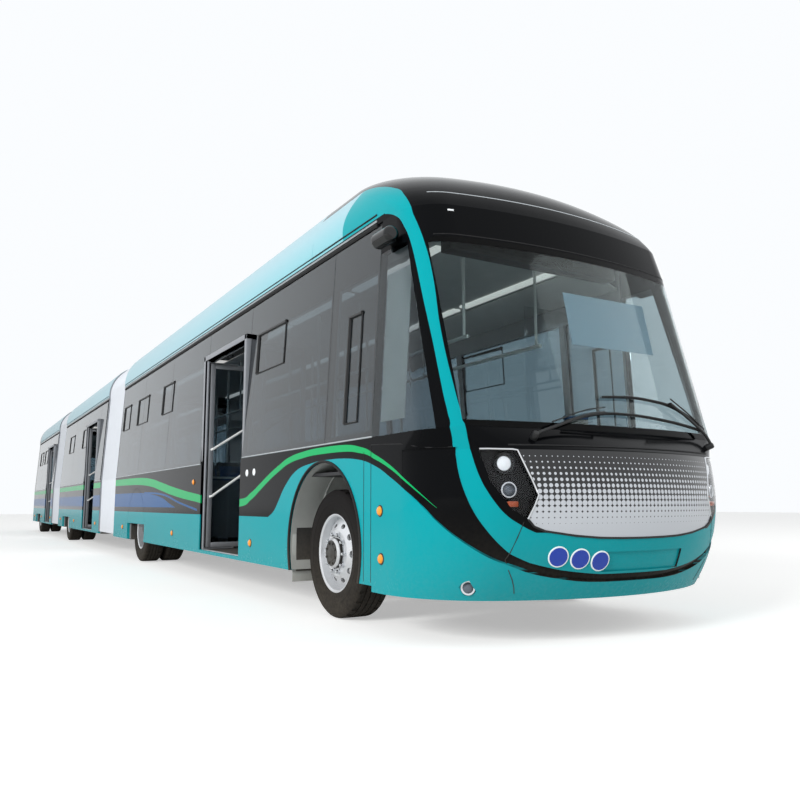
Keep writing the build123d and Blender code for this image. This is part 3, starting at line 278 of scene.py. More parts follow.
def make_livery():
    """Paint masks of the whole body: teal, green and blue over black, by place alone."""
    group, _, result = new_group("livery", (("Color", "NodeSocketColor"), ("Black", "NodeSocketFloat")))
    _, x, y, z = object_place(group)
    ahead = calc(group, "SUBTRACT", x, FRONT_AXLE)
    width = calc(group, "ABSOLUTE", y)
    lower_teal = outside(group, above(group, z, graph(group, ahead, TEAL_TOP)))
    # Teal starts again over SLOT_TOP, so the front slot below it keeps black as painted shade.
    band = both(group, above(group, ahead, graph(group, z, BAND_REAR)),
                above(group, width, graph(group, z, BAND_FRONT)), above(group, z, SLOT_TOP))
    low_front = both(group, above(group, ahead, graph(group, z, BAND_REAR)),
                     outside(group, above(group, z, BAND_FRONT[1][0])), above(group, z, SLOT_TOP))
    teal = calc(group, "MAXIMUM", lower_teal, calc(group, "MAXIMUM", band, low_front))
    green_gap = calc(group, "ABSOLUTE", calc(group, "SUBTRACT", z, graph(group, ahead, GREEN_LINE)))
    green = both(group, above(group, graph(group, ahead, GREEN_HALF), green_gap),
                 outside(group, above(group, ahead, TAPER_END)))
    blue_area = both(group, outside(group, above(group, z, graph(group, ahead, BLUE_TOP))),
                     above(group, z, BLUE_BOTTOM), outside(group, above(group, ahead, BLUE_TOP[-1][0])))
    line_gap = calc(group, "ABSOLUTE", calc(group, "SUBTRACT", z, graph(group, ahead, BLUE_LINE)))
    blue_line = both(group, above(group, BLUE_HALF, line_gap), above(group, ahead, BLUE_LINE[0][0]),
                     outside(group, above(group, ahead, BLUE_LINE[-1][0])))
    blue = calc(group, "MAXIMUM", blue_area, blue_line)
    colour = blend_colour(group, teal, PIANO_BLACK, TEAL)
    colour = blend_colour(group, both(group, blue, outside(group, teal)), colour, STRIPE_BLUE)
    colour = blend_colour(group, both(group, green, outside(group, teal)), colour, STRIPE_GREEN)
    painted = calc(group, "MAXIMUM", teal, calc(group, "MAXIMUM", blue, green))
    over_belt = calc(group, "MAXIMUM", calc(group, "SUBTRACT", z, BELT_Z), 0.0)
    slope = calc(group, "MULTIPLY", over_belt, SIDE_SLOPE)
    skin = calc(group, "SUBTRACT", HALF - LINING_DEPTH, slope)
    inside = both(group, above(group, skin, width), above(group, LINING_FRONT, ahead),
                  above(group, x, TAIL_LINING))
    colour = blend_colour(group, inside, colour, LINING_GREY)
    facing_out = put(group, "ShaderNodeTexCoord").outputs["Normal"]
    from_heart = put(group, "ShaderNodeCombineXYZ", X=calc(group, "SUBTRACT", ahead, NOSE_HEART), Y=y)
    outward = put(group, "ShaderNodeVectorMath")
    outward.operation = "DOT_PRODUCT"
    plug(group, outward.inputs[0], facing_out)
    plug(group, outward.inputs[1], from_heart.outputs[0])
    cab_side = both(group, above(group, ahead, LINING_FRONT),
                    above(group, INWARD_EDGE, outward.outputs["Value"]))
    colour = blend_colour(group, cab_side, colour, CAB_GREY)
    plug(group, result.inputs["Color"], colour)
    plug(group, result.inputs["Black"], outside(group, painted))
    return group


DUST = srgb(150, 140, 124)


def make_road_film():
    """Road dust and faint mottling: more near the ground, uneven everywhere."""
    group, given, result = new_group(
        "road_film",
        (("Color", "NodeSocketColor"), ("Roughness", "NodeSocketFloat"), ("Dust", "NodeSocketFloat")),
        (("Color", "NodeSocketColor", (0.5, 0.5, 0.5, 1.0)), ("Roughness", "NodeSocketFloat", 0.3),
         ("Amount", "NodeSocketFloat", 0.3), ("Reach", "NodeSocketFloat", 0.9)))
    place, _, _, z = object_place(group)
    cloud = noise(group, place, 2.3, 6.0, 0.62)
    speck = noise(group, place, 46.0, 3.0)
    nearness = calc(group, "SUBTRACT", 1.0, calc(group, "DIVIDE", z, given.outputs["Reach"]), clamp=True)
    low = calc(group, "POWER", nearness, 1.6)
    uneven = calc(group, "MULTIPLY_ADD", calc(group, "ADD", cloud, speck), 0.9, -0.35, clamp=True)
    dust = calc(group, "MULTIPLY", calc(group, "MULTIPLY", low, uneven), given.outputs["Amount"], clamp=True)
    colour = blend_colour(group, dust, given.outputs["Color"], DUST)
    rough = calc(group, "MULTIPLY_ADD", calc(group, "SUBTRACT", cloud, 0.5), 0.06, given.outputs["Roughness"])
    rough = calc(group, "MULTIPLY_ADD", dust, 0.5, rough, clamp=True)
    plug(group, result.inputs["Color"], colour)
    plug(group, result.inputs["Roughness"], rough)
    plug(group, result.inputs["Dust"], dust)
    return group


def make_grain():
    """Fine moulded or cast grain, as a height."""
    group, given, result = new_group(
        "moulded_grain", (("Height", "NodeSocketFloat"),), (("Scale", "NodeSocketFloat", 400.0),))
    place = object_place(group)[0]
    plug(group, result.inputs["Height"], noise(group, place, given.outputs["Scale"], 4.0))
    return group


livery = make_livery()
road_film = make_road_film()
grain = make_grain()


def bumped(tree, shader, height, strength, distance):
    """Bump on a shader from a height."""
    bump = put(tree, "ShaderNodeBump", Strength=strength, Distance=distance, Height=height)
    plug(tree, shader.inputs["Normal"], bump.outputs["Normal"])


PAINT_SPECULAR = 0.06
PEEL_HEIGHT = 0.0006
CAP_BULGE_Z = 2.96
CAP_BULGE = 2.2
DOME_START = -0.45
COVE_TEAL = srgb(86, 186, 196)
COVE_FADE = ((-6.0, 0.0), (-2.5, 0.25), (0.1, 0.55))
COVE_FADE_HEIGHT = 0.28


def painted_body():
    """Body paint: the livery under a film of road dust, with a faint orange peel."""
    finish, tree, shader = new_finish("body_paint")
    paint = use_group(tree, livery)
    rough = calc(tree, "MULTIPLY_ADD", paint.outputs["Black"], -0.12, 0.24)
    shader.inputs["Specular IOR Level"].default_value = PAINT_SPECULAR
    plug(tree, shader.inputs["Coat Weight"], calc(tree, "MULTIPLY_ADD", paint.outputs["Black"], -0.1, 0.1))
    film = use_group(tree, road_film, Color=paint.outputs["Color"], Roughness=rough, Amount=0.22)
    plug(tree, shader.inputs["Base Color"], film.outputs["Color"])
    plug(tree, shader.inputs["Roughness"], film.outputs["Roughness"])
    shader.inputs["Coat Roughness"].default_value = 0.04
    bumped(tree, shader, noise(tree, object_place(tree)[0], 160.0, 2.0), 0.04, PEEL_HEIGHT)
    return finish


def painted_roof():
    """Pale cove with a gutter line, teal towards the nose and black over the dome."""
    finish, tree, shader = new_finish("roof_paint")
    place, x, y, z = object_place(tree)
    ahead = calc(tree, "SUBTRACT", x, FRONT_AXLE)
    width = calc(tree, "ABSOLUTE", y)
    rise = calc(tree, "SUBTRACT", z, CAP_BULGE_Z)
    bulge = calc(tree, "MULTIPLY", calc(tree, "POWER", rise, 2.0), CAP_BULGE)
    teal_zone = above(tree, ahead, calc(tree, "ADD", bulge, CAP_TEAL_START))
    fade = graph(tree, ahead, COVE_FADE)
    over_gutter = calc(tree, "DIVIDE", calc(tree, "SUBTRACT", z, GUTTER_TOP), COVE_FADE_HEIGHT)
    low_share = calc(tree, "SUBTRACT", 1.0, over_gutter, clamp=True)
    cove = blend_colour(tree, calc(tree, "MULTIPLY", fade, low_share), ROOF_PALE, COVE_TEAL)
    colour = blend_colour(tree, teal_zone, cove, TEAL)
    dome = both(tree, above(tree, graph(tree, z, BAND_FRONT), width), above(tree, ahead, DOME_START))
    gutter = both(tree, above(tree, GUTTER_TOP, z), above(tree, graph(tree, z, BAND_REAR), ahead))
    black = calc(tree, "MAXIMUM", dome, gutter)
    colour = blend_colour(tree, black, colour, PIANO_BLACK)
    rough = calc(tree, "MULTIPLY_ADD", black, -0.16, 0.30)
    film = use_group(tree, road_film, Color=colour, Roughness=rough, Amount=0.0)
    plug(tree, shader.inputs["Base Color"], film.outputs["Color"])
    plug(tree, shader.inputs["Roughness"], film.outputs["Roughness"])
    shader.inputs["Specular IOR Level"].default_value = PAINT_SPECULAR
    plug(tree, shader.inputs["Coat Weight"], calc(tree, "MULTIPLY_ADD", black, -0.1, 0.1))
    shader.inputs["Coat Roughness"].default_value = 0.05
    bumped(tree, shader, noise(tree, place, 120.0, 2.0), 0.05, PEEL_HEIGHT)
    return finish


def plain_finish(name, colour, roughness, metallic=0.0, amount=0.4, grain_scale=400.0, bump=0.15, spread=0.12,
                 coat=0.0, sheen=0.0, specular=0.5):
    """A finish with uneven colour, dust and a fine grain."""
    finish, tree, shader = new_finish(name)
    place = object_place(tree)[0]
    cloud = noise(tree, place, 6.0, 5.0, 0.6)
    dark = tuple(value * (1 - spread) for value in colour[:3]) + (1.0,)
    light = tuple(min(1.0, value * (1 + spread)) for value in colour[:3]) + (1.0,)
    base = blend_colour(tree, cloud, dark, light)
    film = use_group(tree, road_film, Color=base, Roughness=roughness, Amount=amount)
    plug(tree, shader.inputs["Base Color"], film.outputs["Color"])
    plug(tree, shader.inputs["Roughness"], film.outputs["Roughness"])
    shader.inputs["Metallic"].default_value = metallic
    shader.inputs["Specular IOR Level"].default_value = specular
    shader.inputs["Coat Weight"].default_value = coat
    shader.inputs["Sheen Weight"].default_value = sheen
    height = use_group(tree, grain, Scale=grain_scale)
    bumped(tree, shader, height.outputs["Height"], bump, 0.001)
    return finish


def tinted_glass(name, tint, roughness=0.01, band=None, bending=1.2):
    """Glass with a tint and, where band is given, a black fired edge above and below."""
    finish, tree, shader = new_finish(name)
    place, _, _, z = object_place(tree)
    smear = noise(tree, place, 5.0, 4.0)
    colour = blend_colour(tree, smear, tint, tuple(value * 0.9 for value in tint[:3]) + (1.0,))
    if band:
        edge = calc(tree, "MAXIMUM", above(tree, band[0], z), above(tree, z, band[1]))
        colour = blend_colour(tree, edge, colour, PIANO_BLACK)
    plug(tree, shader.inputs["Base Color"], colour)
    plug(tree, shader.inputs["Roughness"], calc(tree, "MULTIPLY_ADD", smear, 0.02, roughness))
    shader.inputs["Transmission Weight"].default_value = 1.0
    shader.inputs["IOR"].default_value = bending
    return finish


DOT_PITCH = 0.0345
DOT_TOP_Z = 1.135
DOT_FULL_Z = 0.70


def dotted_grille():
    """Silver dots on black that grow downwards until they close into plain silver."""
    finish, tree, shader = new_finish("grille")
    _, _, y, z = object_place(tree)

    def cell(value):
        """Place within a dot's square, from -0.5 to 0.5."""
        scaled = calc(tree, "DIVIDE", value, DOT_PITCH)
        return calc(tree, "SUBTRACT", calc(tree, "FRACT", scaled), 0.5)

    across = cell(calc(tree, "ADD", y, 10.0))
    up = cell(calc(tree, "ADD", z, 10.0))
    gap = calc(tree, "SQRT", calc(tree, "ADD", calc(tree, "MULTIPLY", across, across),
                                 calc(tree, "MULTIPLY", up, up)))
    size = calc(tree, "DIVIDE", calc(tree, "SUBTRACT", DOT_TOP_Z, z), DOT_TOP_Z - DOT_FULL_Z)
    radius = calc(tree, "MULTIPLY_ADD", size, 0.62, 0.08)
    shown = both(tree, calc(tree, "MULTIPLY_ADD", calc(tree, "SUBTRACT", radius, gap), 18.0, 0.5, clamp=True),
                 above(tree, DOT_TOP_Z, z))
    colour = blend_colour(tree, shown, PIANO_BLACK, srgb(196, 200, 206))
    plug(tree, shader.inputs["Base Color"], colour)
    plug(tree, shader.inputs["Metallic"], calc(tree, "MULTIPLY", shown, 0.35))
    plug(tree, shader.inputs["Roughness"], calc(tree, "MULTIPLY_ADD", shown, 0.2, 0.12))
    shader.inputs["Coat Weight"].default_value = 0.4
    shader.inputs["Coat Roughness"].default_value = 0.05
    bumped(tree, shader, shown, 0.25, 0.001)
    return finish


body_paint = painted_body()
roof_paint = painted_roof()
black_gloss = plain_finish("black_gloss", PIANO_BLACK, 0.1, amount=0.15, bump=0.02, coat=0.1)
chassis_paint = plain_finish("chassis_paint", srgb(40, 41, 43), 0.55, amount=0.7, grain_scale=180.0, bump=0.3)
side_glass = tinted_glass("side_glass", srgb(104, 122, 132), bending=1.52)
screen_glass = tinted_glass("screen_glass", srgb(225, 238, 238), band=(1.345, 2.545))
grille = dotted_grille()
lamp_glass = tinted_glass("lamp_glass", srgb(238, 242, 244))
dark_plastic = plain_finish("dark_plastic", srgb(34, 35, 37), 0.5, grain_scale=900.0, bump=0.25)
grey_plastic = plain_finish("grey_plastic", srgb(122, 125, 130), 0.45, grain_scale=900.0, bump=0.2)
seat_cloth = plain_finish("seat_cloth", srgb(38, 74, 120), 0.85, amount=0.1, grain_scale=1400.0, bump=0.5,
                          sheen=0.4)
bellows_cloth = plain_finish("bellows_cloth", srgb(214, 218, 224), 0.7, amount=0.45, grain_scale=1200.0,
                             bump=0.35, spread=0.05)
tyre_rubber = plain_finish("tyre_rubber", srgb(22, 20, 20), 0.8, amount=0.22, grain_scale=600.0, bump=0.35,
                           specular=0.2)
polished_alloy = plain_finish("polished_alloy", srgb(226, 228, 231), 0.32, metallic=0.7, amount=0.4,
                              bump=0.05)
door_alloy = plain_finish("door_alloy", srgb(146, 149, 154), 0.4, metallic=0.5, amount=0.3, bump=0.1)
axle_steel = plain_finish("axle_steel", srgb(88, 88, 90), 0.5, metallic=0.6, amount=0.6, grain_scale=220.0,
                          bump=0.3)
red_lamp = plain_finish("red_lamp", srgb(170, 14, 16), 0.15, amount=0.1, bump=0.02, coat=0.8)

FINISHES = {
    "side_walls": body_paint, "nose_mask": body_paint, "front_bumper": body_paint, "rear_cap": body_paint,
    "roof": roof_paint, "windows": side_glass, "windscreen": screen_glass, "grille_panel": grille,
    "headlamps": lamp_glass, "chassis": chassis_paint, "camera_mirrors": black_gloss,
    "dashboard": dark_plastic, "seats": seat_cloth, "axle": axle_steel, "knuckle": axle_steel,
    "bellows": bellows_cloth, "tyre": tyre_rubber, "rim": polished_alloy, "door": door_alloy,
    "tail_lamps": red_lamp,
}
for name, node in nodes.items():
    finish = next(value for key, value in FINISHES.items() if name.startswith(key))
    for spot in node.material_slots:
        spot.material = finish
    if not node.material_slots:
        node.data.materials.append(finish)


# Making of pieces
def shaded_object(name, shape, finish, sharp):
    """Object from a mesh under work, shaded smooth between its sharp edges."""
    limit = math.radians(sharp)
    for face in shape.faces:
        face.smooth = True
    for edge in shape.edges:
        edge.smooth = edge.calc_face_angle(0) < limit
    mesh = bpy.data.meshes.new(name)
    shape.to_mesh(mesh)
    shape.free()
    mesh.materials.append(finish)
    made = bpy.data.objects.new(name, mesh)
    bpy.context.scene.collection.objects.link(made)
    return made


def new_piece(name, shape, finish, body, stands_for=(), sharp=35):
    """Finished piece that rides on a body and the nodes that it stands for."""
    made = shaded_object(name, shape, finish, sharp)
    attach(made, body)
    if stands_for:
        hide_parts(*stands_for)
    return made


def join(shape, part, place=Matrix()):
    """Put a part, made about its own origin, into a shape under work."""
    bmesh.ops.remove_doubles(part, verts=part.verts, dist=1e-6)
    bmesh.ops.recalc_face_normals(part, faces=part.faces)
    part.transform(place)
    carrier = bpy.data.meshes.new("carrier")
    part.to_mesh(carrier)
    part.free()
    shape.from_mesh(carrier)
    bpy.data.meshes.remove(carrier)


def slab(shape, low, high, rounding=0.0, segments=2, place=Matrix()):
    """Block between two corners, with its edges rounded."""
    low, high = Vector(low), Vector(high)
    part = bmesh.new()
    bmesh.ops.create_cube(part, size=1)
    bmesh.ops.scale(part, vec=high - low, verts=part.verts)
    bmesh.ops.translate(part, vec=(low + high) / 2, verts=part.verts)
    if rounding:
        bmesh.ops.bevel(part, geom=part.edges[:], offset=rounding, affect="EDGES", segments=segments,
                        profile=0.5, material=-1)
    join(shape, part, place)


def turned(shape, profile, place=Matrix(), steps=32):
    """Body turned about z from radii and heights."""
    part = bmesh.new()
    points = [part.verts.new((radius, 0, height)) for radius, height in profile]
    lines = [part.edges.new(pair) for pair in zip(points, points[1:])]
    bmesh.ops.spin(part, geom=points + lines, cent=(0, 0, 0), axis=(0, 0, 1), angle=2 * math.pi, steps=steps,
                   use_merge=True)
    join(shape, part, place)


def facing(place, way, up="Y"):
    """Matrix that turns z to a direction at a place."""
    return Matrix.Translation(place) @ Vector(way).to_track_quat("Z", up).to_matrix().to_4x4()


def tube(shape, points, radius, roundness=2, loop=False):
    """Round bar along points."""
    path = bpy.data.curves.new("path", "CURVE")
    path.dimensions = "3D"
    path.bevel_depth = radius
    path.bevel_resolution = roundness
    path.use_fill_caps = True
    line = path.splines.new("POLY")
    line.points.add(len(points) - 1)
    for spot, point in zip(line.points, points):
        spot.co = (*point, 1)
    line.use_cyclic_u = loop
    holder = bpy.data.objects.new("path", path)
    mesh = bpy.data.meshes.new_from_object(holder)
    part = bmesh.new()
    part.from_mesh(mesh)
    bpy.data.objects.remove(holder)
    bpy.data.curves.remove(path)
    bpy.data.meshes.remove(mesh)
    join(shape, part)


def curve_through(points, steps=8):
    """Points along a smooth line through a few."""
    points = [Vector(point) for point in points]
    ends = [2 * points[0] - points[1], *points, 2 * points[-1] - points[-2]]
    result = []
    for before, start, end, after in zip(ends, ends[1:], ends[2:], ends[3:]):
        for index in range(steps):
            t = index / steps
            bend = (2 * before - 5 * start + 4 * end - after) * t ** 2
            turn = (3 * start - before - 3 * end + after) * t ** 3
            result.append(0.5 * (2 * start + (end - before) * t + bend + turn))
    result.append(points[-1])
    return result


def of_kind(items, kind):
    """Those of one kind among what a mesh operator gives back."""
    return [item for item in items if isinstance(item, kind)]


def skin_of(*names):
    """The outer skin of some CAD nodes, to lay details on."""
    shape = bmesh.new()
    for name in names:
        shape.from_mesh(nodes[name].data)
    tree = BVHTree.FromBMesh(shape)
    shape.free()
    return tree


SKIN = skin_of("nose_mask", "windscreen", "front_bumper", "grille_panel", "headlamps", "roof_cap",
               "windows_front", "side_walls_front")


def from_front(y, z, lift=0.0):
    """Place on the nose straight ahead of y and z, and its normal."""
    spot, normal, _, _ = SKIN.ray_cast(Vector((14, y, z)), Vector((-1, 0, 0)))
    return spot + normal * lift, normal


def nose_line(points, lift, side=1):
    """Places on the nose straight ahead of pairs of y and z."""
    return [from_front(side * y, z, lift)[0] for y, z in points]


def from_side(ahead, z, side, lift=0.0):
    """Place on the front car's side or nose beside a point, and its normal."""
    spot, normal, _, _ = SKIN.ray_cast(Vector((FRONT_AXLE + ahead, side * 3, z)), Vector((0, -side, 0)))
    if spot is None:
        return Vector((FRONT_AXLE + ahead, side * half_width(z), z)), Vector((0, side, 0))
    return spot + normal * lift, normal


DRIP_HALF = 1.190
COVE_Y = 0.600
COVE_Z = 2.920
COVE_R = math.hypot(DRIP_HALF - COVE_Y, DRIP_Z - COVE_Z)


def half_width(z):
    """Half the body's width at a height."""
    if z <= BELT_Z:
        return HALF
    if z <= DRIP_Z:
        return HALF - (HALF - DRIP_HALF) * (z - BELT_Z) / (DRIP_Z - BELT_Z)
    return COVE_Y + math.sqrt(COVE_R ** 2 - (z - COVE_Z) ** 2)


# Body's length: car, rear end and front end of its straight sides, and door
CAR_ENDS = {car: (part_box(f"side_walls_{car}")[0].x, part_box(f"side_walls_{car}")[1].x) for car in CARS}
DOOR_X = {car: (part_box(f"door_{index}_front_column")[1].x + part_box(f"door_{index}_rear_column")[0].x) / 2
          for index, car in enumerate(CARS, start=1)}
DOOR_HALF = 0.680
DOOR_POST = 0.040
WHEEL_BODIES = ("front_right", "front_left", "drive_right", "drive_left", "middle_right", "middle_left",
                "rear_right", "rear_left")

# Finishes of the pieces
rubber = plain_finish("black_rubber", RUBBER, 0.75, amount=0.4, grain_scale=500.0, bump=0.3)
trim_black = plain_finish("satin_black_trim", srgb(20, 21, 22), 0.42, amount=0.3, grain_scale=700.0,
                          bump=0.12)
silver_trim = plain_finish("silver_trim", srgb(200, 206, 210), 0.28, metallic=0.85, amount=0.15, bump=0.03)
chrome = plain_finish("bright_chrome", srgb(225, 227, 230), 0.08, metallic=1.0, amount=0.1, bump=0.02)
amber_lens = plain_finish("amber_lens", AMBER, 0.14, amount=0.15, bump=0.05, coat=0.8)
sign_blue = plain_finish("sign_blue", srgb(10, 56, 164), 0.3, amount=0.15, bump=0.03)
sign_white = plain_finish("sign_white", srgb(236, 240, 242), 0.3, amount=0.15, bump=0.03)
handrail_white = plain_finish("handrail_white", srgb(226, 228, 226), 0.3, amount=0.05, bump=0.04)
ceiling_white = plain_finish("ceiling_white", srgb(212, 214, 214), 0.55, amount=0.0, bump=0.08)
floor_vinyl = plain_finish("floor_vinyl", srgb(92, 98, 106), 0.6, amount=0.3, grain_scale=260.0, bump=0.2,
                           spread=0.3)
blind_cloth = plain_finish("blind_cloth", srgb(118, 142, 160), 0.8, amount=0.0, grain_scale=1100.0, bump=0.4)
pale_blind = plain_finish("pale_blind", srgb(206, 206, 200), 0.8, amount=0.0, grain_scale=900.0, bump=0.4)
hub_black = plain_finish("hub_black", srgb(30, 31, 33), 0.4, amount=0.5, grain_scale=500.0, bump=0.2)
lens_glass = plain_finish("camera_lens", srgb(10, 12, 18), 0.06, amount=0.0, bump=0.02, coat=1.0)
roof_grey = plain_finish("roof_grey", srgb(176, 182, 186), 0.5, amount=0.0, grain_scale=500.0, bump=0.15)
lamp_red = plain_finish("tail_lamp_red", srgb(176, 12, 16), 0.16, amount=0.1, bump=0.05, coat=0.8)
liner_grey = plain_finish("liner_grey", srgb(168, 171, 168), 0.6, amount=0.6, grain_scale=300.0, bump=0.3)
door_glass = tinted_glass("door_glass", srgb(172, 184, 190), bending=1.3)
seat_shell = plain_finish("seat_shell", srgb(60, 66, 74), 0.42, amount=0.05, grain_scale=900.0, bump=0.2)
clear_lens = tinted_glass("clear_lens", srgb(246, 248, 250))


FLUTE_HEIGHT = 0.0006


def lamp_glow(name, colour, strength):
    """Lens lit from behind, with a fluted surface."""
    finish, tree, shader = new_finish(name)
    _, _, _, z = object_place(tree)
    flute = calc(tree, "SINE", calc(tree, "MULTIPLY", z, 900.0))
    shader.inputs["Emission Strength"].default_value = strength
    ridge = calc(tree, "MULTIPLY_ADD", flute, 0.2, 0.5)
    plug(tree, shader.inputs["Emission Color"], blend_colour(tree, ridge, colour, WHITE))
    shader.inputs["Base Color"].default_value = colour
    shader.inputs["Roughness"].default_value = 0.2
    bumped(tree, shader, flute, 0.3, FLUTE_HEIGHT)
    return finish


cabin_light = lamp_glow("cabin_light", srgb(240, 238, 232), 0.55)
projector_lens = lamp_glow("projector_lens", srgb(84, 92, 102), 0.02)
lamp_white = lamp_glow("lamp_white", srgb(240, 243, 245), 0.25)
well_black = plain_finish("well_black", srgb(17, 18, 20), 0.6, amount=0.1, grain_scale=150.0, bump=0.1,
                          specular=0.2)
indicator_lens = plain_finish("indicator_lens", srgb(196, 84, 34), 0.3, amount=0.2, bump=0.05, coat=0.3)


# Lines of the body
def side_line(shape, start, end, z, side, radius, lift=0.0):
    """Straight bar along the cars' sides."""
    y = side * (half_width(z) + lift)
    tube(shape, [(start, y, z), (end, y, z)], radius, 1)


# Seams of the nose: belt seam and upright seams by distance ahead of the front axle and height, the others
# by y and height
BELT_SEAM = ((0.768, 1.241), (0.96, 1.232), (1.154, 1.222), (1.30, 1.200), (1.415, 1.184), (1.55, 1.184))
UPRIGHT_SEAMS = ((0.665, 0.330, 1.20), (0.768, 0.330, 1.235))
BUMPER_JOINT = ((0.825, 0.740), (0.852, 0.650), (0.878, 0.561), (0.885, 0.520), (0.862, 0.455),
                (0.828, 0.401), (0.802, 0.350), (0.790, 0.318))
BUMPER_LIP = ((-0.80, 0.748), (-0.766, 0.709), (-0.70, 0.682), (-0.508, 0.653), (-0.345, 0.639),
              (-0.17, 0.634), (0, 0.633), (0.17, 0.634), (0.345, 0.639), (0.508, 0.653), (0.70, 0.682),
              (0.766, 0.709), (0.80, 0.748))
SEAM_SINK = -0.001

# Mouldings, panes and rails along the cars
PANE_LIMIT = 1.0
QUARTER_START = 0.7785
PANE_PROUD = 0.0010
MOULDING_Z = 1.296
GUTTER_Z = 2.838
RAIL_Z = 2.905
for car in CARS:
    rear, front = CAR_ENDS[car]
    body = f"{car}_car"
    silver = bmesh.new()
    dark = bmesh.new()
    door = DOOR_X[car]
    gap = DOOR_HALF + DOOR_POST
    front_end = FRONT_AXLE + 0.70 if car == "front" else front - 0.01
    pane_shape = bmesh.new()
    pane_shape.from_mesh(nodes[f"windows_{car}"].data)
    bmesh.ops.remove_doubles(pane_shape, verts=pane_shape.verts, dist=1e-6)
    for spot in pane_shape.verts:
        if abs(spot.co.y) > PANE_LIMIT:
            spot.co.y += math.copysign(PANE_PROUD, spot.co.y)
    if car == "front":
        quarter = pane_shape.copy()
        start = FRONT_AXLE + QUARTER_START
        behind = [spot for spot in quarter.verts if spot.co.x < start]
        beyond = [spot for spot in pane_shape.verts if spot.co.x > start]
        bmesh.ops.delete(quarter, geom=behind, context="VERTS")
        bmesh.ops.delete(pane_shape, geom=beyond, context="VERTS")
        new_piece("quarter_panes", quarter, door_glass, body, sharp=20)
    new_piece(f"window_panes_{car}", pane_shape, side_glass, body, (f"windows_{car}",), sharp=20)
    rear_end = TAIL + 0.16 if car == "rear" else rear + 0.01
    for side in SIDES:
        side_line(silver, rear_end, front_end, GUTTER_Z + 0.022, side, 0.010, -0.003)
        side_line(dark, rear_end, front_end, GUTTER_Z - 0.008, side, 0.016, -0.006)
        side_line(dark, rear_end, front_end, RAIL_Z, side, 0.007, -0.002)
        spans = [(rear_end, front if car == "front" else front - 0.01)]
        if side == RIGHT:
            spans = [(spans[0][0], door - gap), (door + gap, spans[0][1])]
        for low, high in spans:
            side_line(silver, low, high, MOULDING_Z, side, 0.006, -0.001)
    if car == "front":
        for side in SIDES:
            tube(dark, [from_side(ahead, z, side, SEAM_SINK)[0] for ahead, z in BELT_SEAM], 0.004, 1)
            for ahead, low, high in UPRIGHT_SEAMS:
                heights = [low + (high - low) * t / 6 for t in range(7)]
                tube(dark, [from_side(ahead, z, side, SEAM_SINK)[0] for z in heights], 0.0032, 1)
            tube(dark, nose_line(BUMPER_JOINT, SEAM_SINK, side), 0.0035, 1)
        # Lines across the nose: height, half length, radius, lift and piece
        for z, reach, radius, lift, shape in ((2.955, 1.04, 0.0045, SEAM_SINK, silver),
                                              (2.600, 1.09, 0.004, SEAM_SINK, dark),
                                              (1.192, 0.88, 0.006, 0.0, dark)):
            tube(shape, nose_line([(reach * t / 20, z) for t in range(-20, 21)], lift), radius, 1)
        tube(dark, nose_line([(y, z + 0.004) for y, z in BUMPER_LIP], 0.001), 0.007, 1)
    new_piece(f"mouldings_{car}", silver, silver_trim, body)
    new_piece(f"seams_{car}", dark, rubber, body)

# Front wheel arches
arch = bmesh.new()
ARCH_X, ARCH_Z, ARCH_R = FRONT_AXLE - 0.020, 0.520, 0.650
SKIRT_Z = 0.311
ARCH_END = math.asin((SKIRT_Z - ARCH_Z) / ARCH_R)
LINER_R = ARCH_R - 0.012
LINER_OUTER = 1.262
LINER_INNER = 0.566
LINER_STEP = 0.18


def arch_line(radius, y, steps):
    """Points over the front wheel, from the skirt behind it to the one before it."""
    angles = (ARCH_END + (math.pi - 2 * ARCH_END) * t / steps for t in range(steps + 1))
    return [(ARCH_X + radius * math.cos(a), y, ARCH_Z + radius * math.sin(a)) for a in angles]


for side in SIDES:
    tube(arch, arch_line(ARCH_R - 0.004, side * (HALF + 0.002), 40), 0.011, 2)
new_piece("arch_edges", arch, rubber, "front_car")
liner = bmesh.new()
for side in SIDES:
    part = bmesh.new()
    line = [part.verts.new(point) for point in arch_line(LINER_R, side * LINER_OUTER, 36)]
    line_edges = [part.edges.new(pair) for pair in zip(line, line[1:])]
    for depth in (LINER_STEP, LINER_STEP, LINER_STEP, LINER_OUTER - LINER_INNER - 3 * LINER_STEP):
        grown = bmesh.ops.extrude_edge_only(part, edges=line_edges)["geom"]
        line_edges = of_kind(grown, bmesh.types.BMEdge)
        bmesh.ops.translate(part, vec=(0, -side * depth, 0), verts=of_kind(grown, bmesh.types.BMVert))
    rim_points = {spot for edge in line_edges for spot in edge.verts}
    ends = [spot for spot in rim_points if sum(edge in line_edges for edge in spot.link_edges) == 1]
    closing = part.edges.new(ends)
    bmesh.ops.edgeloop_fill(part, edges=line_edges + [closing])
    bmesh.ops.recalc_face_normals(part, faces=part.faces)
    bmesh.ops.solidify(part, geom=part.faces[:], thickness=0.004)
    join(liner, part)
    for rib in (0.62, 0.82, 1.02):
        tube(liner, arch_line(LINER_R - 0.006, side * rib, 24), 0.008, 1)
    slab(liner, (FRONT_AXLE - 0.655, side * 0.95, 0.215), (FRONT_AXLE - 0.647, side * 1.245, 0.60), 0.003)
new_piece("arch_liners", liner, liner_grey, "front_car")

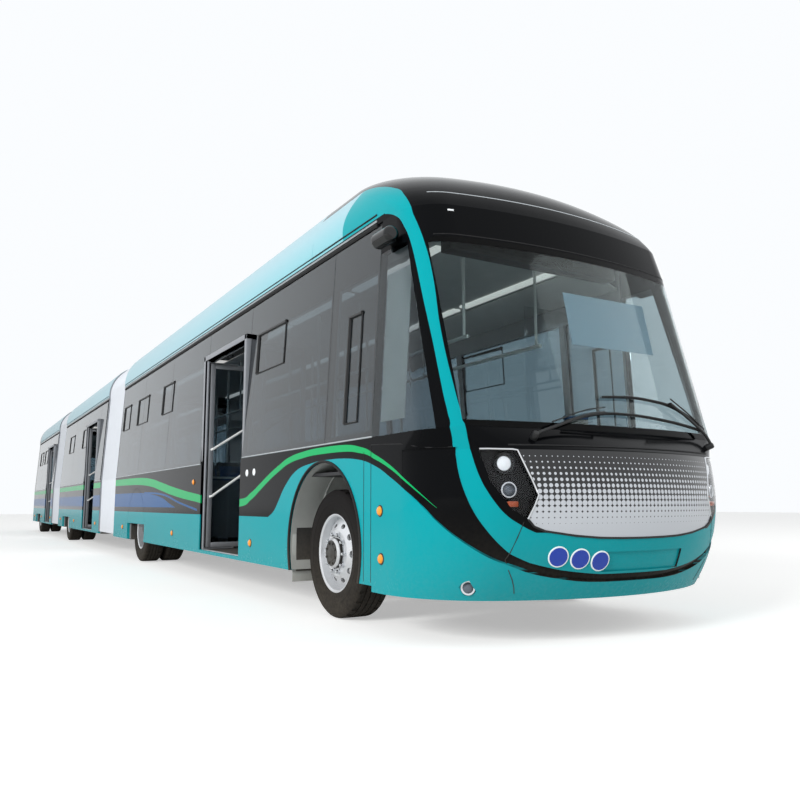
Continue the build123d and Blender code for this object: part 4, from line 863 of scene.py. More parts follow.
# Marker lamps along the sides, as distance ahead of the front axle, height and car
MARKERS = ((0.895, 0.800, "front"), (0.909, 0.492, "front"), (-1.608, 0.488, "front"),
           (-3.592, 1.100, "front"), (-4.510, 0.489, "front"), (-7.700, 0.489, "front"),
           (-10.400, 0.489, "middle"), (-13.300, 0.489, "middle"), (-15.700, 0.489, "middle"),
           (-18.000, 0.489, "rear"), (-20.300, 0.489, "rear"), (-22.400, 0.489, "rear"))
for car in CARS:
    lenses, bases = bmesh.new(), bmesh.new()
    for ahead, z, owner in MARKERS:
        if owner != car:
            continue
        for side in SIDES:
            spot, normal = from_side(ahead, z, side) if car == "front" else (
                Vector((FRONT_AXLE + ahead, side * HALF, z)), Vector((0, side, 0)))
            place = facing(spot, normal)
            turned(bases, ((0.0, 0.004), (0.036, 0.004), (0.040, 0.0), (0.040, -0.006)), place, 24)
            turned(lenses, ((0.0, 0.019), (0.014, 0.018), (0.024, 0.014), (0.031, 0.006), (0.032, 0.0)),
                   place, 24)
    new_piece(f"marker_lenses_{car}", lenses, amber_lens, f"{car}_car")
    new_piece(f"marker_bases_{car}", bases, trim_black, f"{car}_car")

# Door buttons beside the first door
buttons = bmesh.new()
for ahead, z in ((-1.740, 1.141), (-1.544, 1.143)):
    spot, normal = from_side(ahead, z, RIGHT)
    turned(buttons, ((0.0, 0.006), (0.018, 0.006), (0.020, 0.004), (0.030, 0.004), (0.034, 0.0)),
           facing(spot, normal), 24)
new_piece("door_buttons", buttons, sign_white, "front_car")

# Headlamps: a thin clear lens over a dark well with two round lamps and an indicator
lens = bmesh.new()
lens.from_mesh(nodes["headlamps"].data)
bmesh.ops.remove_doubles(lens, verts=lens.verts, dist=1e-5)
OUTWARD = 0.25
LENS_DEPTH = 0.01


def behind_lens(face):
    """Whether a face of the headlamp's solid lies behind its outer skin."""
    middle = face.calc_center_median()
    return face.normal.x < OUTWARD or (from_front(middle.y, middle.z)[0].x - middle.x) > LENS_DEPTH


bmesh.ops.delete(lens, geom=[face for face in lens.faces if behind_lens(face)], context="FACES")
well = lens.copy()
bmesh.ops.solidify(lens, geom=lens.faces[:], thickness=0.003)
new_piece("headlamp_lenses", lens, clear_lens, "front_car", ("headlamps",))
bmesh.ops.translate(well, vec=(-0.050, 0, 0), verts=well.verts)
new_piece("headlamp_wells", well, well_black, "front_car")
LOW_BEAM = (0.902, 1.081)
HIGH_BEAM = (0.890, 0.926)
INDICATOR = (0.872, 0.843)
LAMP_DEPTH = 0.040
hoods, bowls, rings, beams, turn = (bmesh.new() for _ in range(5))


def lamp_seat(side, spot):
    """Place behind the headlamp lens, facing as its lamps do."""
    surface = from_front(side * spot[0], spot[1])[0]
    return facing(surface - Vector((LAMP_DEPTH, 0, 0)), (0.93, side * 0.36, 0.0))


for side in SIDES:
    place = lamp_seat(side, LOW_BEAM)
    turned(hoods, ((0.042, 0.004), (0.048, 0.018), (0.062, 0.022), (0.070, 0.008), (0.070, -0.012),
                   (0.042, -0.012), (0.042, 0.004)), place, 40)
    turned(rings, ((0.041, 0.006), (0.043, 0.011), (0.045, 0.006), (0.043, 0.001), (0.041, 0.006)), place, 40)
    turned(bowls, ((0.0, 0.016), (0.020, 0.015), (0.034, 0.011), (0.042, 0.003)), place, 32)
    place = lamp_seat(side, HIGH_BEAM)
    turned(rings, ((0.036, 0.012), (0.039, 0.020), (0.047, 0.017), (0.050, 0.004), (0.050, -0.012),
                   (0.040, -0.016), (0.036, 0.0), (0.036, 0.012)), place, 40)
    turned(beams, ((0.0, 0.018), (0.015, 0.016), (0.026, 0.010), (0.036, -0.002)), place, 32)
    spot = from_front(side * INDICATOR[0], INDICATOR[1])[0] - Vector((0.030, 0, 0))
    slab(turn, spot - Vector((0.008, 0.038, 0.017)), spot + Vector((0.008, 0.038, 0.017)), 0.006)
new_piece("headlamp_hoods", hoods, black_gloss, "front_car")
new_piece("headlamp_bowls", bowls, lamp_white, "front_car")
new_piece("headlamp_rings", rings, chrome, "front_car")
new_piece("headlamp_beams", beams, projector_lens, "front_car")
new_piece("headlamp_indicators", turn, indicator_lens, "front_car")
GRILLE_EDGE = ((1.030, 1.168), (0.991, 1.168), (0.926, 1.166), (0.862, 1.165), (0.834, 1.160),
               (0.807, 1.07), (0.775, 0.98), (0.744, 0.896), (0.770, 0.83), (0.804, 0.757))
strips = bmesh.new()
for side in SIDES:
    tube(strips, nose_line(GRILLE_EDGE, 0.001, side), 0.0050, 1)
new_piece("grille_edge_strips", strips, chrome, "front_car")

# Fog lamps in their pockets
fogs, fog_rings = bmesh.new(), bmesh.new()
FOG_TURN = math.radians(41.6)
FOG_AHEAD, FOG_Y, FOG_Z = 1.526, 1.027, 0.351
for side in SIDES:
    way = Vector((math.cos(FOG_TURN), side * math.sin(FOG_TURN), 0))
    place = facing(Vector((FRONT_AXLE + FOG_AHEAD, side * FOG_Y, FOG_Z)) - way * 0.012, way)
    turned(fogs, ((0.0, 0.012), (0.014, 0.011), (0.026, 0.006), (0.033, -0.002)), place, 32)
    turned(fog_rings, ((0.030, 0.0), (0.033, 0.008), (0.043, 0.011), (0.0445, 0.002), (0.0445, -0.016),
                       (0.0, -0.016)), place, 32)
new_piece("fog_lamps", fogs, projector_lens, "front_car")
new_piece("fog_lamp_rings", fog_rings, chrome, "front_car")

# Blank round signs on the bumper
SIGNS = ((-0.597, 0.534), (-0.456, 0.519), (-0.315, 0.503))
discs, edges = bmesh.new(), bmesh.new()
for y, z in SIGNS:
    place = facing(*from_front(y, z))
    turned(edges, ((0.0, 0.0025), (0.064, 0.0025), (0.066, 0.0), (0.066, -0.004)), place, 40)
    turned(discs, ((0.0, 0.0036), (0.057, 0.0036), (0.058, 0.002)), place, 40)
new_piece("sign_discs", discs, sign_blue, "front_car")
new_piece("sign_edges", edges, sign_white, "front_car")

# Wipers: two long blades across the foot of the screen
arms, blades = bmesh.new(), bmesh.new()
WIPERS = (
    ((-0.700, 1.238), ((-0.560, 1.275), (-0.287, 1.384), (-0.112, 1.414)),
     ((-0.420, 1.352), (-0.112, 1.414), (0.180, 1.422), (0.474, 1.407), (0.730, 1.386), (0.971, 1.360))),
    ((0.980, 1.245), ((0.930, 1.330), (0.760, 1.430), (0.579, 1.523)),
     ((-0.079, 1.530), (0.115, 1.542), (0.307, 1.544), (0.579, 1.523), (0.760, 1.475), (0.930, 1.400))),
)
ARM_LIFT = 0.045
BLADE_LIFT = 0.016
LIP_LIFT = 0.005
for pivot, arm, blade in WIPERS:
    root, normal = from_front(*pivot)
    turned(arms, ((0.0, 0.050), (0.016, 0.048), (0.022, 0.040), (0.024, 0.0), (0.034, -0.004)),
           facing(root, normal), 20)
    run = [root + normal * 0.036] + nose_line(arm, ARM_LIFT)
    tube(arms, curve_through(run), 0.0105, 2)
    tube(arms, curve_through([point + Vector((0, 0, 0.034)) for point in run[1:]]), 0.005, 1)
    tube(arms, [run[-1], from_front(*arm[-1], BLADE_LIFT)[0]], 0.010, 1)
    tube(blades, curve_through(nose_line(blade, BLADE_LIFT + 0.006)), 0.0085, 1)
    tube(blades, curve_through(nose_line(blade, LIP_LIFT)), 0.0045, 0)
new_piece("wiper_arms", arms, trim_black, "front_car")
new_piece("wiper_blades", blades, rubber, "front_car")

# Side windows' opening parts, as ends ahead of the front axle, lower and upper edge
HOPPERS = {
    "front": ((-1.650, -0.953, 2.090, 2.470), (-5.463, -4.914, 2.074, 2.470), (-7.103, -6.397, 2.074, 2.470),
              (-8.217, -7.733, 2.074, 2.470), (0.352, 0.548, 1.420, 2.215)),
    "middle": ((-12.9, -12.2, 2.074, 2.470), (-15.0, -14.3, 2.074, 2.470)),
    "rear": ((-20.7, -20.0, 2.074, 2.470), (-22.0, -21.3, 2.074, 2.470)),
}
FRAME_R = 0.010


def hopper_frame_and_shadow(shape, low, high, bottom, top, side):
    """Thin black frame round an opening part; the heavier bar along its rear and upper edges is painted
    shadow of the opening part.
    """
    def on_wall(corners):
        return [(FRONT_AXLE + x, side * (half_width(z) + 0.001), z) for x, z in corners]

    tube(shape, on_wall([(low, bottom), (high, bottom), (high, top), (low, top)]), FRAME_R, 1, loop=True)
    # Heavier black bar along the rear and upper edges: painted shadow that the opening part casts there.
    tube(shape, on_wall([(low, bottom), (low, top), (high, top)]), FRAME_R * 1.8, 1)


for car, hoppers in HOPPERS.items():
    frames = bmesh.new()
    for side in SIDES:
        for hopper in hoppers:
            hopper_frame_and_shadow(frames, *hopper, side)
    new_piece(f"hopper_frames_and_shadows_{car}", frames, trim_black, f"{car}_car")

# Blinds behind the glass
blind = bmesh.new()
BLIND_AHEAD = (0.790, 0.950, 1.110)
BLIND_Z = (1.40, 1.66, 1.92, 2.18, 2.44)
BLIND_DEPTH = 0.060
rows = [[blind.verts.new(from_side(ahead, z, RIGHT, -BLIND_DEPTH)[0]) for ahead in BLIND_AHEAD]
        for z in BLIND_Z]
for low_row, high_row in zip(rows, rows[1:]):
    for column in range(len(BLIND_AHEAD) - 1):
        blind.faces.new((low_row[column], low_row[column + 1], high_row[column + 1], high_row[column]))
bmesh.ops.recalc_face_normals(blind, faces=blind.faces)
bmesh.ops.solidify(blind, geom=blind.faces[:], thickness=0.003)
new_piece("cab_side_blind", blind, pale_blind, "front_car")
SHADE_SIZE = (0.40, 0.80, 1.0, 1.0)
SHADE_PLACE = (FRONT_AXLE + 1.400, 0.345, 2.135)
SHADE_LEAN = math.radians(78)
sunshade = bmesh.new()
part = bmesh.new()
bmesh.ops.create_grid(part, x_segments=8, y_segments=10, size=0.5)
bmesh.ops.transform(part, matrix=Matrix.Diagonal(SHADE_SIZE), verts=part.verts)
join(sunshade, part, Matrix.Translation(SHADE_PLACE) @ Matrix.Rotation(SHADE_LEAN, 4, "Y"))
bmesh.ops.solidify(sunshade, geom=sunshade.faces[:], thickness=0.004)
new_piece("sunshade", sunshade, blind_cloth, "front_car")

# Tyres: grooved tread and moulded sidewalls, as radius and height over the tyre's middle plane
TYRE_PROFILE = ((0.290, 0.100), (0.290, 0.1175), (0.302, 0.1245), (0.330, 0.1320), (0.362, 0.1355),
                (0.364, 0.1372), (0.376, 0.1372), (0.378, 0.1358), (0.408, 0.1352), (0.436, 0.1300),
                (0.438, 0.1322), (0.448, 0.1300), (0.463, 0.1210), (0.4725, 0.1120), (0.4765, 0.1040),
                (0.4775, 0.0980), (0.4780, 0.0720), (0.4660, 0.0700), (0.4660, 0.0640), (0.4782, 0.0620),
                (0.4785, 0.0280), (0.4665, 0.0260), (0.4665, 0.0200), (0.4785, 0.0180))
TYRE_STEPS = 96
SIPE_DEPTH = 0.007
TREAD_R = 0.474
SHOULDER = (0.074, 0.110)


def tyre_shape():
    """Tyre about z: turned section, then every third shoulder block pushed in as a groove across."""
    other = tuple((radius, -height) for radius, height in reversed(TYRE_PROFILE))
    shape = bmesh.new()
    turned(shape, TYRE_PROFILE + other + TYRE_PROFILE[:1], Matrix(), TYRE_STEPS)
    step = 2 * math.pi / TYRE_STEPS
    sipes = []
    for face in shape.faces:
        middle = face.calc_center_median()
        on_tread = math.hypot(middle.x, middle.y) > TREAD_R
        index = int((math.atan2(middle.y, middle.x) + math.pi) / step)
        shoulder = SHOULDER[0] < abs(middle.z) < SHOULDER[1]
        if on_tread and shoulder and index % 3 == 0:
            sipes.append(face)
    moved = of_kind(bmesh.ops.extrude_face_region(shape, geom=sipes)["geom"], bmesh.types.BMVert)
    bmesh.ops.delete(shape, geom=sipes, context="FACES_ONLY")
    for spot in moved:
        away = Vector((spot.co.x, spot.co.y, 0)).normalized()
        spot.co -= away * SIPE_DEPTH
    bmesh.ops.recalc_face_normals(shape, faces=shape.faces)
    return shape


TYRE_SHAPE = tyre_shape()
NUT_CIRCLE = 0.1425
BOLT_CIRCLE = 0.077
FRONT_Y = 1.050
FRONT_DISC_Y = FRONT_Y + 0.105
FRONT_HUB_Y = FRONT_Y + 0.150
TWIN_OUTER = 1.062
TWIN_INNER = 0.750
TWIN_DISC_Y = TWIN_INNER + 0.157
TWIN_HUB_Y = 1.131
NUT = ((0.0, 0.034), (0.010, 0.032), (0.0135, 0.024), (0.0145, 0.012), (0.020, 0.010), (0.021, 0.0))
HUB_CAP = ((0.0, 0.012), (0.030, 0.012), (0.036, 0.009), (0.044, 0.006), (0.058, 0.006), (0.060, 0.003),
           (0.092, 0.003), (0.097, -0.002), (0.099, -0.012), (0.1115, -0.022), (0.1120, -0.046))
for wheel in WHEEL_BODIES:
    front = wheel.startswith("front")
    node = f"tyre_{wheel}" if front else f"tyres_{wheel}"
    side = RIGHT if wheel.endswith("right") else LEFT
    axle_x = middle_x(node)

    def on_axle(out):
        """Place on the wheel's axle, facing outwards."""
        return facing(Vector((axle_x, side * out, AXLE_Z)), (0, side, 0))

    rubber_shape = bmesh.new()
    for out in ((FRONT_Y,) if front else (TWIN_OUTER, TWIN_INNER)):
        join(rubber_shape, TYRE_SHAPE.copy(), on_axle(out))
    new_piece(f"treaded_{node}", rubber_shape, tyre_rubber, f"wheel_{wheel}", (node,), sharp=28)
    nuts = bmesh.new()
    disc_place = on_axle(FRONT_DISC_Y if front else TWIN_DISC_Y)
    for index in range(10):
        turn = Matrix.Rotation(index * math.pi / 5, 4, "Z")
        turned(nuts, NUT, disc_place @ turn @ Matrix.Translation((NUT_CIRCLE, 0, 0)), 12)
    turned(nuts, ((0.120, 0.004), (0.122, 0.010), (0.128, 0.010), (0.130, 0.0)), disc_place, 48)
    new_piece(f"wheel_nuts_{wheel}", nuts, chrome, f"wheel_{wheel}")
    cap = bmesh.new()
    hub_place = on_axle(FRONT_HUB_Y if front else TWIN_HUB_Y)
    turned(cap, HUB_CAP, hub_place, 48)
    for index in range(8):
        turn = Matrix.Rotation((index + 0.5) * math.pi / 4, 4, "Z")
        spot = hub_place @ turn @ Matrix.Translation((BOLT_CIRCLE, 0, 0.003))
        turned(cap, ((0.0, 0.009), (0.0085, 0.009), (0.010, 0.0)), spot, 6)
    new_piece(f"hub_cap_{wheel}", cap, hub_black, f"wheel_{wheel}")
TYRE_SHAPE.free()

# Pleated bellows over the two joints
PLEATS = 14
PLEAT_DEPTH = 0.030
FOLD_DEPTHS = (0.0, 0.55, 1.0, 0.55)
FOLD_HEART_Z = 1.9
FOLD_ROOF_Z = 2.6
FOLD_REACH = 1.56
BELLOWS = (("bellows_1", "middle_car", "front_car"), ("bellows_2", "rear_car", "middle_car"))


def body_section(inset, bottom):
    """Points of the body's section from the lower right side over the roof to the lower left."""
    cove_r = COVE_R - inset
    top = ROOF_Z - inset
    drip = COVE_Y + math.sqrt(cove_r ** 2 - (DRIP_Z - COVE_Z) ** 2)
    low_angle = math.atan2(DRIP_Z - COVE_Z, drip - COVE_Y)
    high_angle = math.asin(min(1.0, (top - COVE_Z) / cove_r))
    wall = HALF - inset
    right = [(-wall, bottom), (-wall, 0.8), (-wall, BELT_Z - 0.03), (-wall + 0.002, BELT_Z + 0.03)]
    right += [(-(wall - (wall - drip) * share), BELT_Z + (DRIP_Z - BELT_Z) * share)
              for share in (0.35, 0.7, 0.95)]
    angles = [low_angle + (high_angle - low_angle) * step / 10 for step in range(11)]
    right += [(-(COVE_Y + cove_r * math.cos(a)), COVE_Z + cove_r * math.sin(a)) for a in angles]
    return right + [(-0.2, top), (0.2, top)] + [(-y, z) for y, z in reversed(right)]


for name, rear_body, front_body in BELLOWS:
    low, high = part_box(name)
    folds = bmesh.new()
    outline = [folds.verts.new((low.x + 0.004, y, z)) for y, z in body_section(0.022, FLOOR_TOP)]
    edge = [folds.edges.new(pair) for pair in zip(outline, outline[1:])]
    pitch = (high.x - low.x - 0.008) / (PLEATS * 4)
    for index in range(PLEATS * 4):
        grown = bmesh.ops.extrude_edge_only(folds, edges=edge)["geom"]
        edge = of_kind(grown, bmesh.types.BMEdge)
        change = (FOLD_DEPTHS[(index + 1) % 4] - FOLD_DEPTHS[index % 4]) * PLEAT_DEPTH
        for spot in of_kind(grown, bmesh.types.BMVert):
            sink = (FOLD_HEART_Z - spot.co.z) / FOLD_REACH if spot.co.z > FOLD_ROOF_Z else 0
            inward = Vector((0, -spot.co.y / HALF, sink))
            spot.co += inward * change + Vector((pitch, 0, 0))
    bmesh.ops.recalc_face_normals(folds, faces=folds.faces)
    outer = sum(face.normal.y * face.calc_center_median().y for face in folds.faces)
    if outer < 0:
        bmesh.ops.reverse_faces(folds, faces=folds.faces)
    bmesh.ops.solidify(folds, geom=folds.faces[:], thickness=0.003)
    sleeve = shaded_object(f"pleated_{name}", folds, bellows_cloth, 60)
    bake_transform(sleeve)
    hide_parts(name)
    for place, body in ((low.x, rear_body), (high.x, front_body)):
        hoop = bmesh.new()
        way = 1 if body == rear_body else -1
        points = [(place + way * 0.006, y, z) for y, z in body_section(0.014, FLOOR_TOP)]
        tube(hoop, points, 0.012, 1)
        new_piece(f"{name}_hoop_{body}", hoop, door_alloy, body)

# Door leaves: framed dark glass with rubber edges and white grab rails
LEAF_FRAME = 0.055
FRAME_LAP = 0.004
LEAF_BOTTOM, LEAF_TOP = 0.368, 2.452
RAIL_HEIGHTS = ((0.930, 1.330), (1.460, 1.830))
RAIL_REACH = 0.045
PORTAL_Y = -1.262
PORTAL_HALF = 0.735
PORTAL_TOP = 2.535
SILL_HALF = 0.634
SILL_BOTTOM, SILL_TOP = 0.3453, 0.3494
for index, car in enumerate(CARS, start=1):
    centre = DOOR_X[car]
    for end in ("front", "rear"):
        leaf = f"door_{index}_{end}_leaf"
        name = f"door_{index}_{end}"
        low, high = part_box(leaf)
        middle = (low.x + high.x) / 2
        border = bmesh.new()
        inner = (low.y + LEAF_FRAME - FRAME_LAP, high.y - LEAF_FRAME + FRAME_LAP)
        # Two stiles, then the lower and the upper rail, as right and left side, bottom and top
        for right, left, bottom, top in ((low.y, low.y + LEAF_FRAME, LEAF_BOTTOM, LEAF_TOP),
                                         (high.y - LEAF_FRAME, high.y, LEAF_BOTTOM, LEAF_TOP),
                                         (*inner, LEAF_BOTTOM, LEAF_BOTTOM + LEAF_FRAME),
                                         (*inner, LEAF_TOP - LEAF_FRAME, LEAF_TOP)):
            slab(border, (low.x, right, bottom), (high.x, left, top), 0.006)
        for start in (LEAF_BOTTOM - 0.006, LEAF_TOP - 0.006):
            turned(border, ((0.0, 0.012), (0.014, 0.012), (0.015, 0.010), (0.015, 0.0), (0.0, 0.0)),
                   Matrix.Translation((middle, (low.y + high.y) / 2, start)), 20)
        new_piece(f"{name}_border", border, door_alloy, leaf, (leaf,))
        pane = bmesh.new()
        seat = LEAF_FRAME - 0.008
        slab(pane, (middle - 0.004, low.y + seat, LEAF_BOTTOM + seat),
             (middle + 0.004, high.y - seat, LEAF_TOP - seat), 0.001, 1)
        new_piece(f"{name}_pane", pane, door_glass, leaf)
        edging = bmesh.new()
        slab(edging, (low.x + 0.010, low.y - 0.006, LEAF_BOTTOM + 0.004),
             (high.x - 0.010, low.y + 0.003, LEAF_TOP - 0.004), 0.003)
        slab(edging, (low.x + 0.012, low.y + 0.02, LEAF_BOTTOM - 0.006),
             (high.x - 0.012, high.y - 0.02, LEAF_BOTTOM + 0.004), 0.002)
        new_piece(f"{name}_edging", edging, rubber, leaf)
        rails = bmesh.new()
        inward = 1 if end == "rear" else -1
        face_x = high.x if end == "rear" else low.x
        reach = Vector((inward * RAIL_REACH, 0, 0))
        for outer_z, inner_z in RAIL_HEIGHTS:
            outer_foot = Vector((face_x, low.y + 0.030, outer_z))
            inner_foot = Vector((face_x, high.y - 0.030, inner_z))
            along = (inner_foot - outer_foot).normalized() * 0.05
            bends = [outer_foot, outer_foot + reach + along * 0.4, outer_foot + reach + along * 1.6,
                     inner_foot + reach - along * 1.6, inner_foot + reach - along * 0.4, inner_foot]
            tube(rails, curve_through(bends, 5), 0.0145, 2)
        new_piece(f"{name}_rails", rails, handrail_white, leaf)
    portal = bmesh.new()
    for way in BOTH_WAYS:
        slab(portal, (centre + way * DOOR_HALF, PORTAL_Y - 0.003, FLOOR_TOP),
             (centre + way * PORTAL_HALF, PORTAL_Y + 0.075, PORTAL_TOP), 0.004)
    slab(portal, (centre - PORTAL_HALF, PORTAL_Y - 0.003, 2.480),
         (centre + PORTAL_HALF, PORTAL_Y + 0.075, PORTAL_TOP), 0.004)
    new_piece(f"door_portal_{index}", portal, door_alloy, f"{car}_car")
    sill = bmesh.new()
    slab(sill, (centre - SILL_HALF, PORTAL_Y + 0.004, SILL_BOTTOM),
         (centre + SILL_HALF, PORTAL_Y + 0.046, SILL_TOP), 0.0015)
    for ridge in range(5):
        y = PORTAL_Y + 0.010 + ridge * 0.008
        tube(sill, [(centre - 0.63, y, SILL_TOP), (centre + 0.63, y, SILL_TOP)], 0.0012, 0)
    new_piece(f"door_sill_{index}", sill, silver_trim, f"{car}_car")
    lintel = bmesh.new()
    slab(lintel, (centre - 0.66, PORTAL_Y + 0.085, 2.505), (centre + 0.66, PORTAL_Y + 0.26, 2.62), 0.012)
    for way in BOTH_WAYS:
        place = facing(Vector((centre + way * 0.3, PORTAL_Y + 0.17, 2.505)), (0, 0, -1))
        turned(lintel, ((0.0, 0.02), (0.03, 0.018), (0.034, 0.0)), place, 20)
    new_piece(f"door_gear_{index}", lintel, dark_plastic, f"{car}_car")

# Seats: one pad of each kind is blown up in cloth, then set on every bench
SEAT_TOP = FLOOR_TOP + 0.440
BACK_TOP = FLOOR_TOP + 1.050
BACK_LEAN = 0.090
BACK_THICKNESS = 0.070
SEAT_DEPTH = 0.450
BENCH_INNER = 0.330
BENCH_OUTER = 1.190
PAD_CELL = 0.016
PAD_REACH = 0.009
SIM_FRAMES = 20


def cloth_pad(name, size):
    """Closed pad of the given size, swollen by cloth pressure, with a sewn channel pressed across it."""
    start = bmesh.new()
    bmesh.ops.create_cube(start, size=1)
    bmesh.ops.scale(start, vec=size, verts=start.verts)
    bmesh.ops.bevel(start, geom=start.edges[:], offset=min(size) * 0.42, affect="EDGES", segments=3,
                    profile=0.5, material=-1)
    mesh = bpy.data.meshes.new(name)
    start.to_mesh(mesh)
    start.free()
    pad = bpy.data.objects.new(name, mesh)
    bpy.context.scene.collection.objects.link(pad)
    remesh = pad.modifiers.new("even cells", "REMESH")
    remesh.mode = "VOXEL"
    remesh.voxel_size = PAD_CELL
    graph_now = bpy.context.evaluated_depsgraph_get()
    even = bpy.data.meshes.new_from_object(pad.evaluated_get(graph_now))
    pad.modifiers.clear()
    pad.data = even
    flat = [point.co.copy() for point in even.vertices]
    cloth = pad.modifiers.new("foam pressure", "CLOTH")
    cloth.settings.use_pressure = True
    cloth.settings.uniform_pressure_force = 4
    cloth.settings.effector_weights.gravity = 0
    cloth.point_cache.frame_start = 1
    cloth.point_cache.frame_end = SIM_FRAMES
    for moment in range(1, SIM_FRAMES + 1):
        bpy.context.scene.frame_set(moment)
    graph_now = bpy.context.evaluated_depsgraph_get()
    swollen = bpy.data.meshes.new_from_object(pad.evaluated_get(graph_now))
    pad.modifiers.clear()
    for point, moved in zip(even.vertices, swollen.vertices):
        shift = moved.co - point.co
        if shift.length > PAD_REACH:
            shift *= PAD_REACH / shift.length
        point.co += shift
    bpy.data.meshes.remove(swollen)
    bpy.context.scene.frame_set(1)
    for point, rest in zip(even.vertices, flat):
        channel = math.exp(-((abs(rest.x) - size[0] * 0.30) / 0.010) ** 2)
        if rest.z > 0:
            point.co.z -= 0.006 * channel
    result = bmesh.new()
    result.from_mesh(even)
    bpy.data.objects.remove(pad)
    bpy.data.meshes.remove(even)
    bpy.data.meshes.remove(mesh)
    return result


SEAT_PAD = cloth_pad("seat_pad_form", (0.385, 0.375, 0.040))
BACK_PAD = cloth_pad("back_pad_form", (0.500, 0.355, 0.032))
SEAT_ROWS = {
    "front": ((LEFT, (-1.50, -2.28, -3.06, -3.84, -4.62, -8.10)), (RIGHT, (-4.40, -5.18, -8.10))),
    "middle": ((LEFT, (-10.80, -11.58, -12.36, -13.14, -15.90)), (RIGHT, (-13.14, -15.90))),
    "rear": ((LEFT, (-18.50, -19.28, -20.06, -22.70)), (RIGHT, (-20.40, -22.70))),
}
LEAN = math.atan2(BACK_LEAN, BACK_TOP - SEAT_TOP)
BACK_MIDDLE = (SEAT_TOP + BACK_TOP) / 2 + 0.02
UPRIGHT = Matrix.Rotation(math.radians(90), 4, "Y")
SHELL_BOTTOM = SEAT_TOP - 0.085
BAR_Z = SEAT_TOP - 0.095
AISLE_Y = 0.36
DRIVER_Y = 0.700
SEAT_WIDTH = (BENCH_OUTER - BENCH_INNER) / 2


def add_seat(shell, pads, foot, y, width):
    """One seat: moulded shell, two pads, at a backrest's foot."""
    half = width / 2 - 0.012
    slab(shell, (foot + 0.02, y - half, SHELL_BOTTOM), (foot + SEAT_DEPTH, y + half, SEAT_TOP - 0.040),
         0.018, 3)
    back_x = foot + BACK_THICKNESS / 2 - BACK_LEAN / 2 - 0.014
    back_place = Matrix.Translation((back_x, y, BACK_MIDDLE - 0.02)) @ Matrix.Rotation(-LEAN, 4, "Y")
    slab(shell, (-0.018, -half, -0.325), (0.012, half, 0.300), 0.012, 3, back_place)
    stretch = (width - 0.03) / 0.40
    wider = Matrix.Diagonal((1, stretch, 1, 1))
    join(pads, SEAT_PAD.copy(), Matrix.Translation((foot + 0.245, y, SEAT_TOP - 0.024)) @ wider)
    join(pads, BACK_PAD.copy(), back_place @ Matrix.Translation((0.030, 0, 0.005)) @ UPRIGHT @ wider)


for car, rows in SEAT_ROWS.items():
    shell, pads, bars = bmesh.new(), bmesh.new(), bmesh.new()
    for side, feet in rows:
        for ahead in feet:
            foot = FRONT_AXLE + ahead
            for share in (0.25, 0.75):
                y = side * (BENCH_INNER + (BENCH_OUTER - BENCH_INNER) * share)
                add_seat(shell, pads, foot, y, SEAT_WIDTH)
            for inner, outer in ((0.52, 0.60), (0.95, 1.03)):
                slab(shell, (foot + 0.03, side * inner, FLOOR_TOP), (foot + 0.16, side * outer, SHELL_BOTTOM),
                     0.01)
            for x in (foot + 0.10, foot + 0.36):
                tube(bars, [(x, side * AISLE_Y, BAR_Z), (x, side * 1.17, BAR_Z)], 0.016, 1)
            y = side * (BENCH_INNER + 0.03)
            grip = [(foot - 0.055, y, BACK_TOP - 0.16), (foot - 0.085, y, BACK_TOP - 0.01),
                    (foot - 0.080, y + side * 0.06, BACK_TOP), (foot - 0.078, y + side * 0.20, BACK_TOP)]
            tube(bars, curve_through(grip, 5), 0.013, 1)
    if car == "front":
        foot = FRONT_AXLE + 0.730
        add_seat(shell, pads, foot, DRIVER_Y, 0.500)
        slab(shell, (foot + 0.08, 0.58, FLOOR_TOP), (foot + 0.34, 0.82, SEAT_TOP - 0.10), 0.02, 3)
        head_place = Matrix.Translation((foot - 0.078, DRIVER_Y, BACK_TOP + 0.085))
        join(pads, BACK_PAD.copy(), head_place @ UPRIGHT @ Matrix.Diagonal((0.34, 0.72, 1.5, 1)))
        for y in (0.46, 0.94):
            armrest = [(foot + 0.03, y, SEAT_TOP + 0.20), (foot + 0.16, y, SEAT_TOP + 0.215),
                       (foot + 0.30, y, SEAT_TOP + 0.21)]
            tube(bars, curve_through(armrest, 4), 0.02, 2)
    new_piece(f"seat_shells_{car}", shell, seat_shell, f"{car}_car", (f"seats_{car}",))
    cushions = new_piece(f"seat_pads_{car}", pads, seat_cloth, f"{car}_car")
    new_piece(f"seat_bars_{car}", bars, handrail_white, f"{car}_car")
SEAT_PAD.free()
BACK_PAD.free()

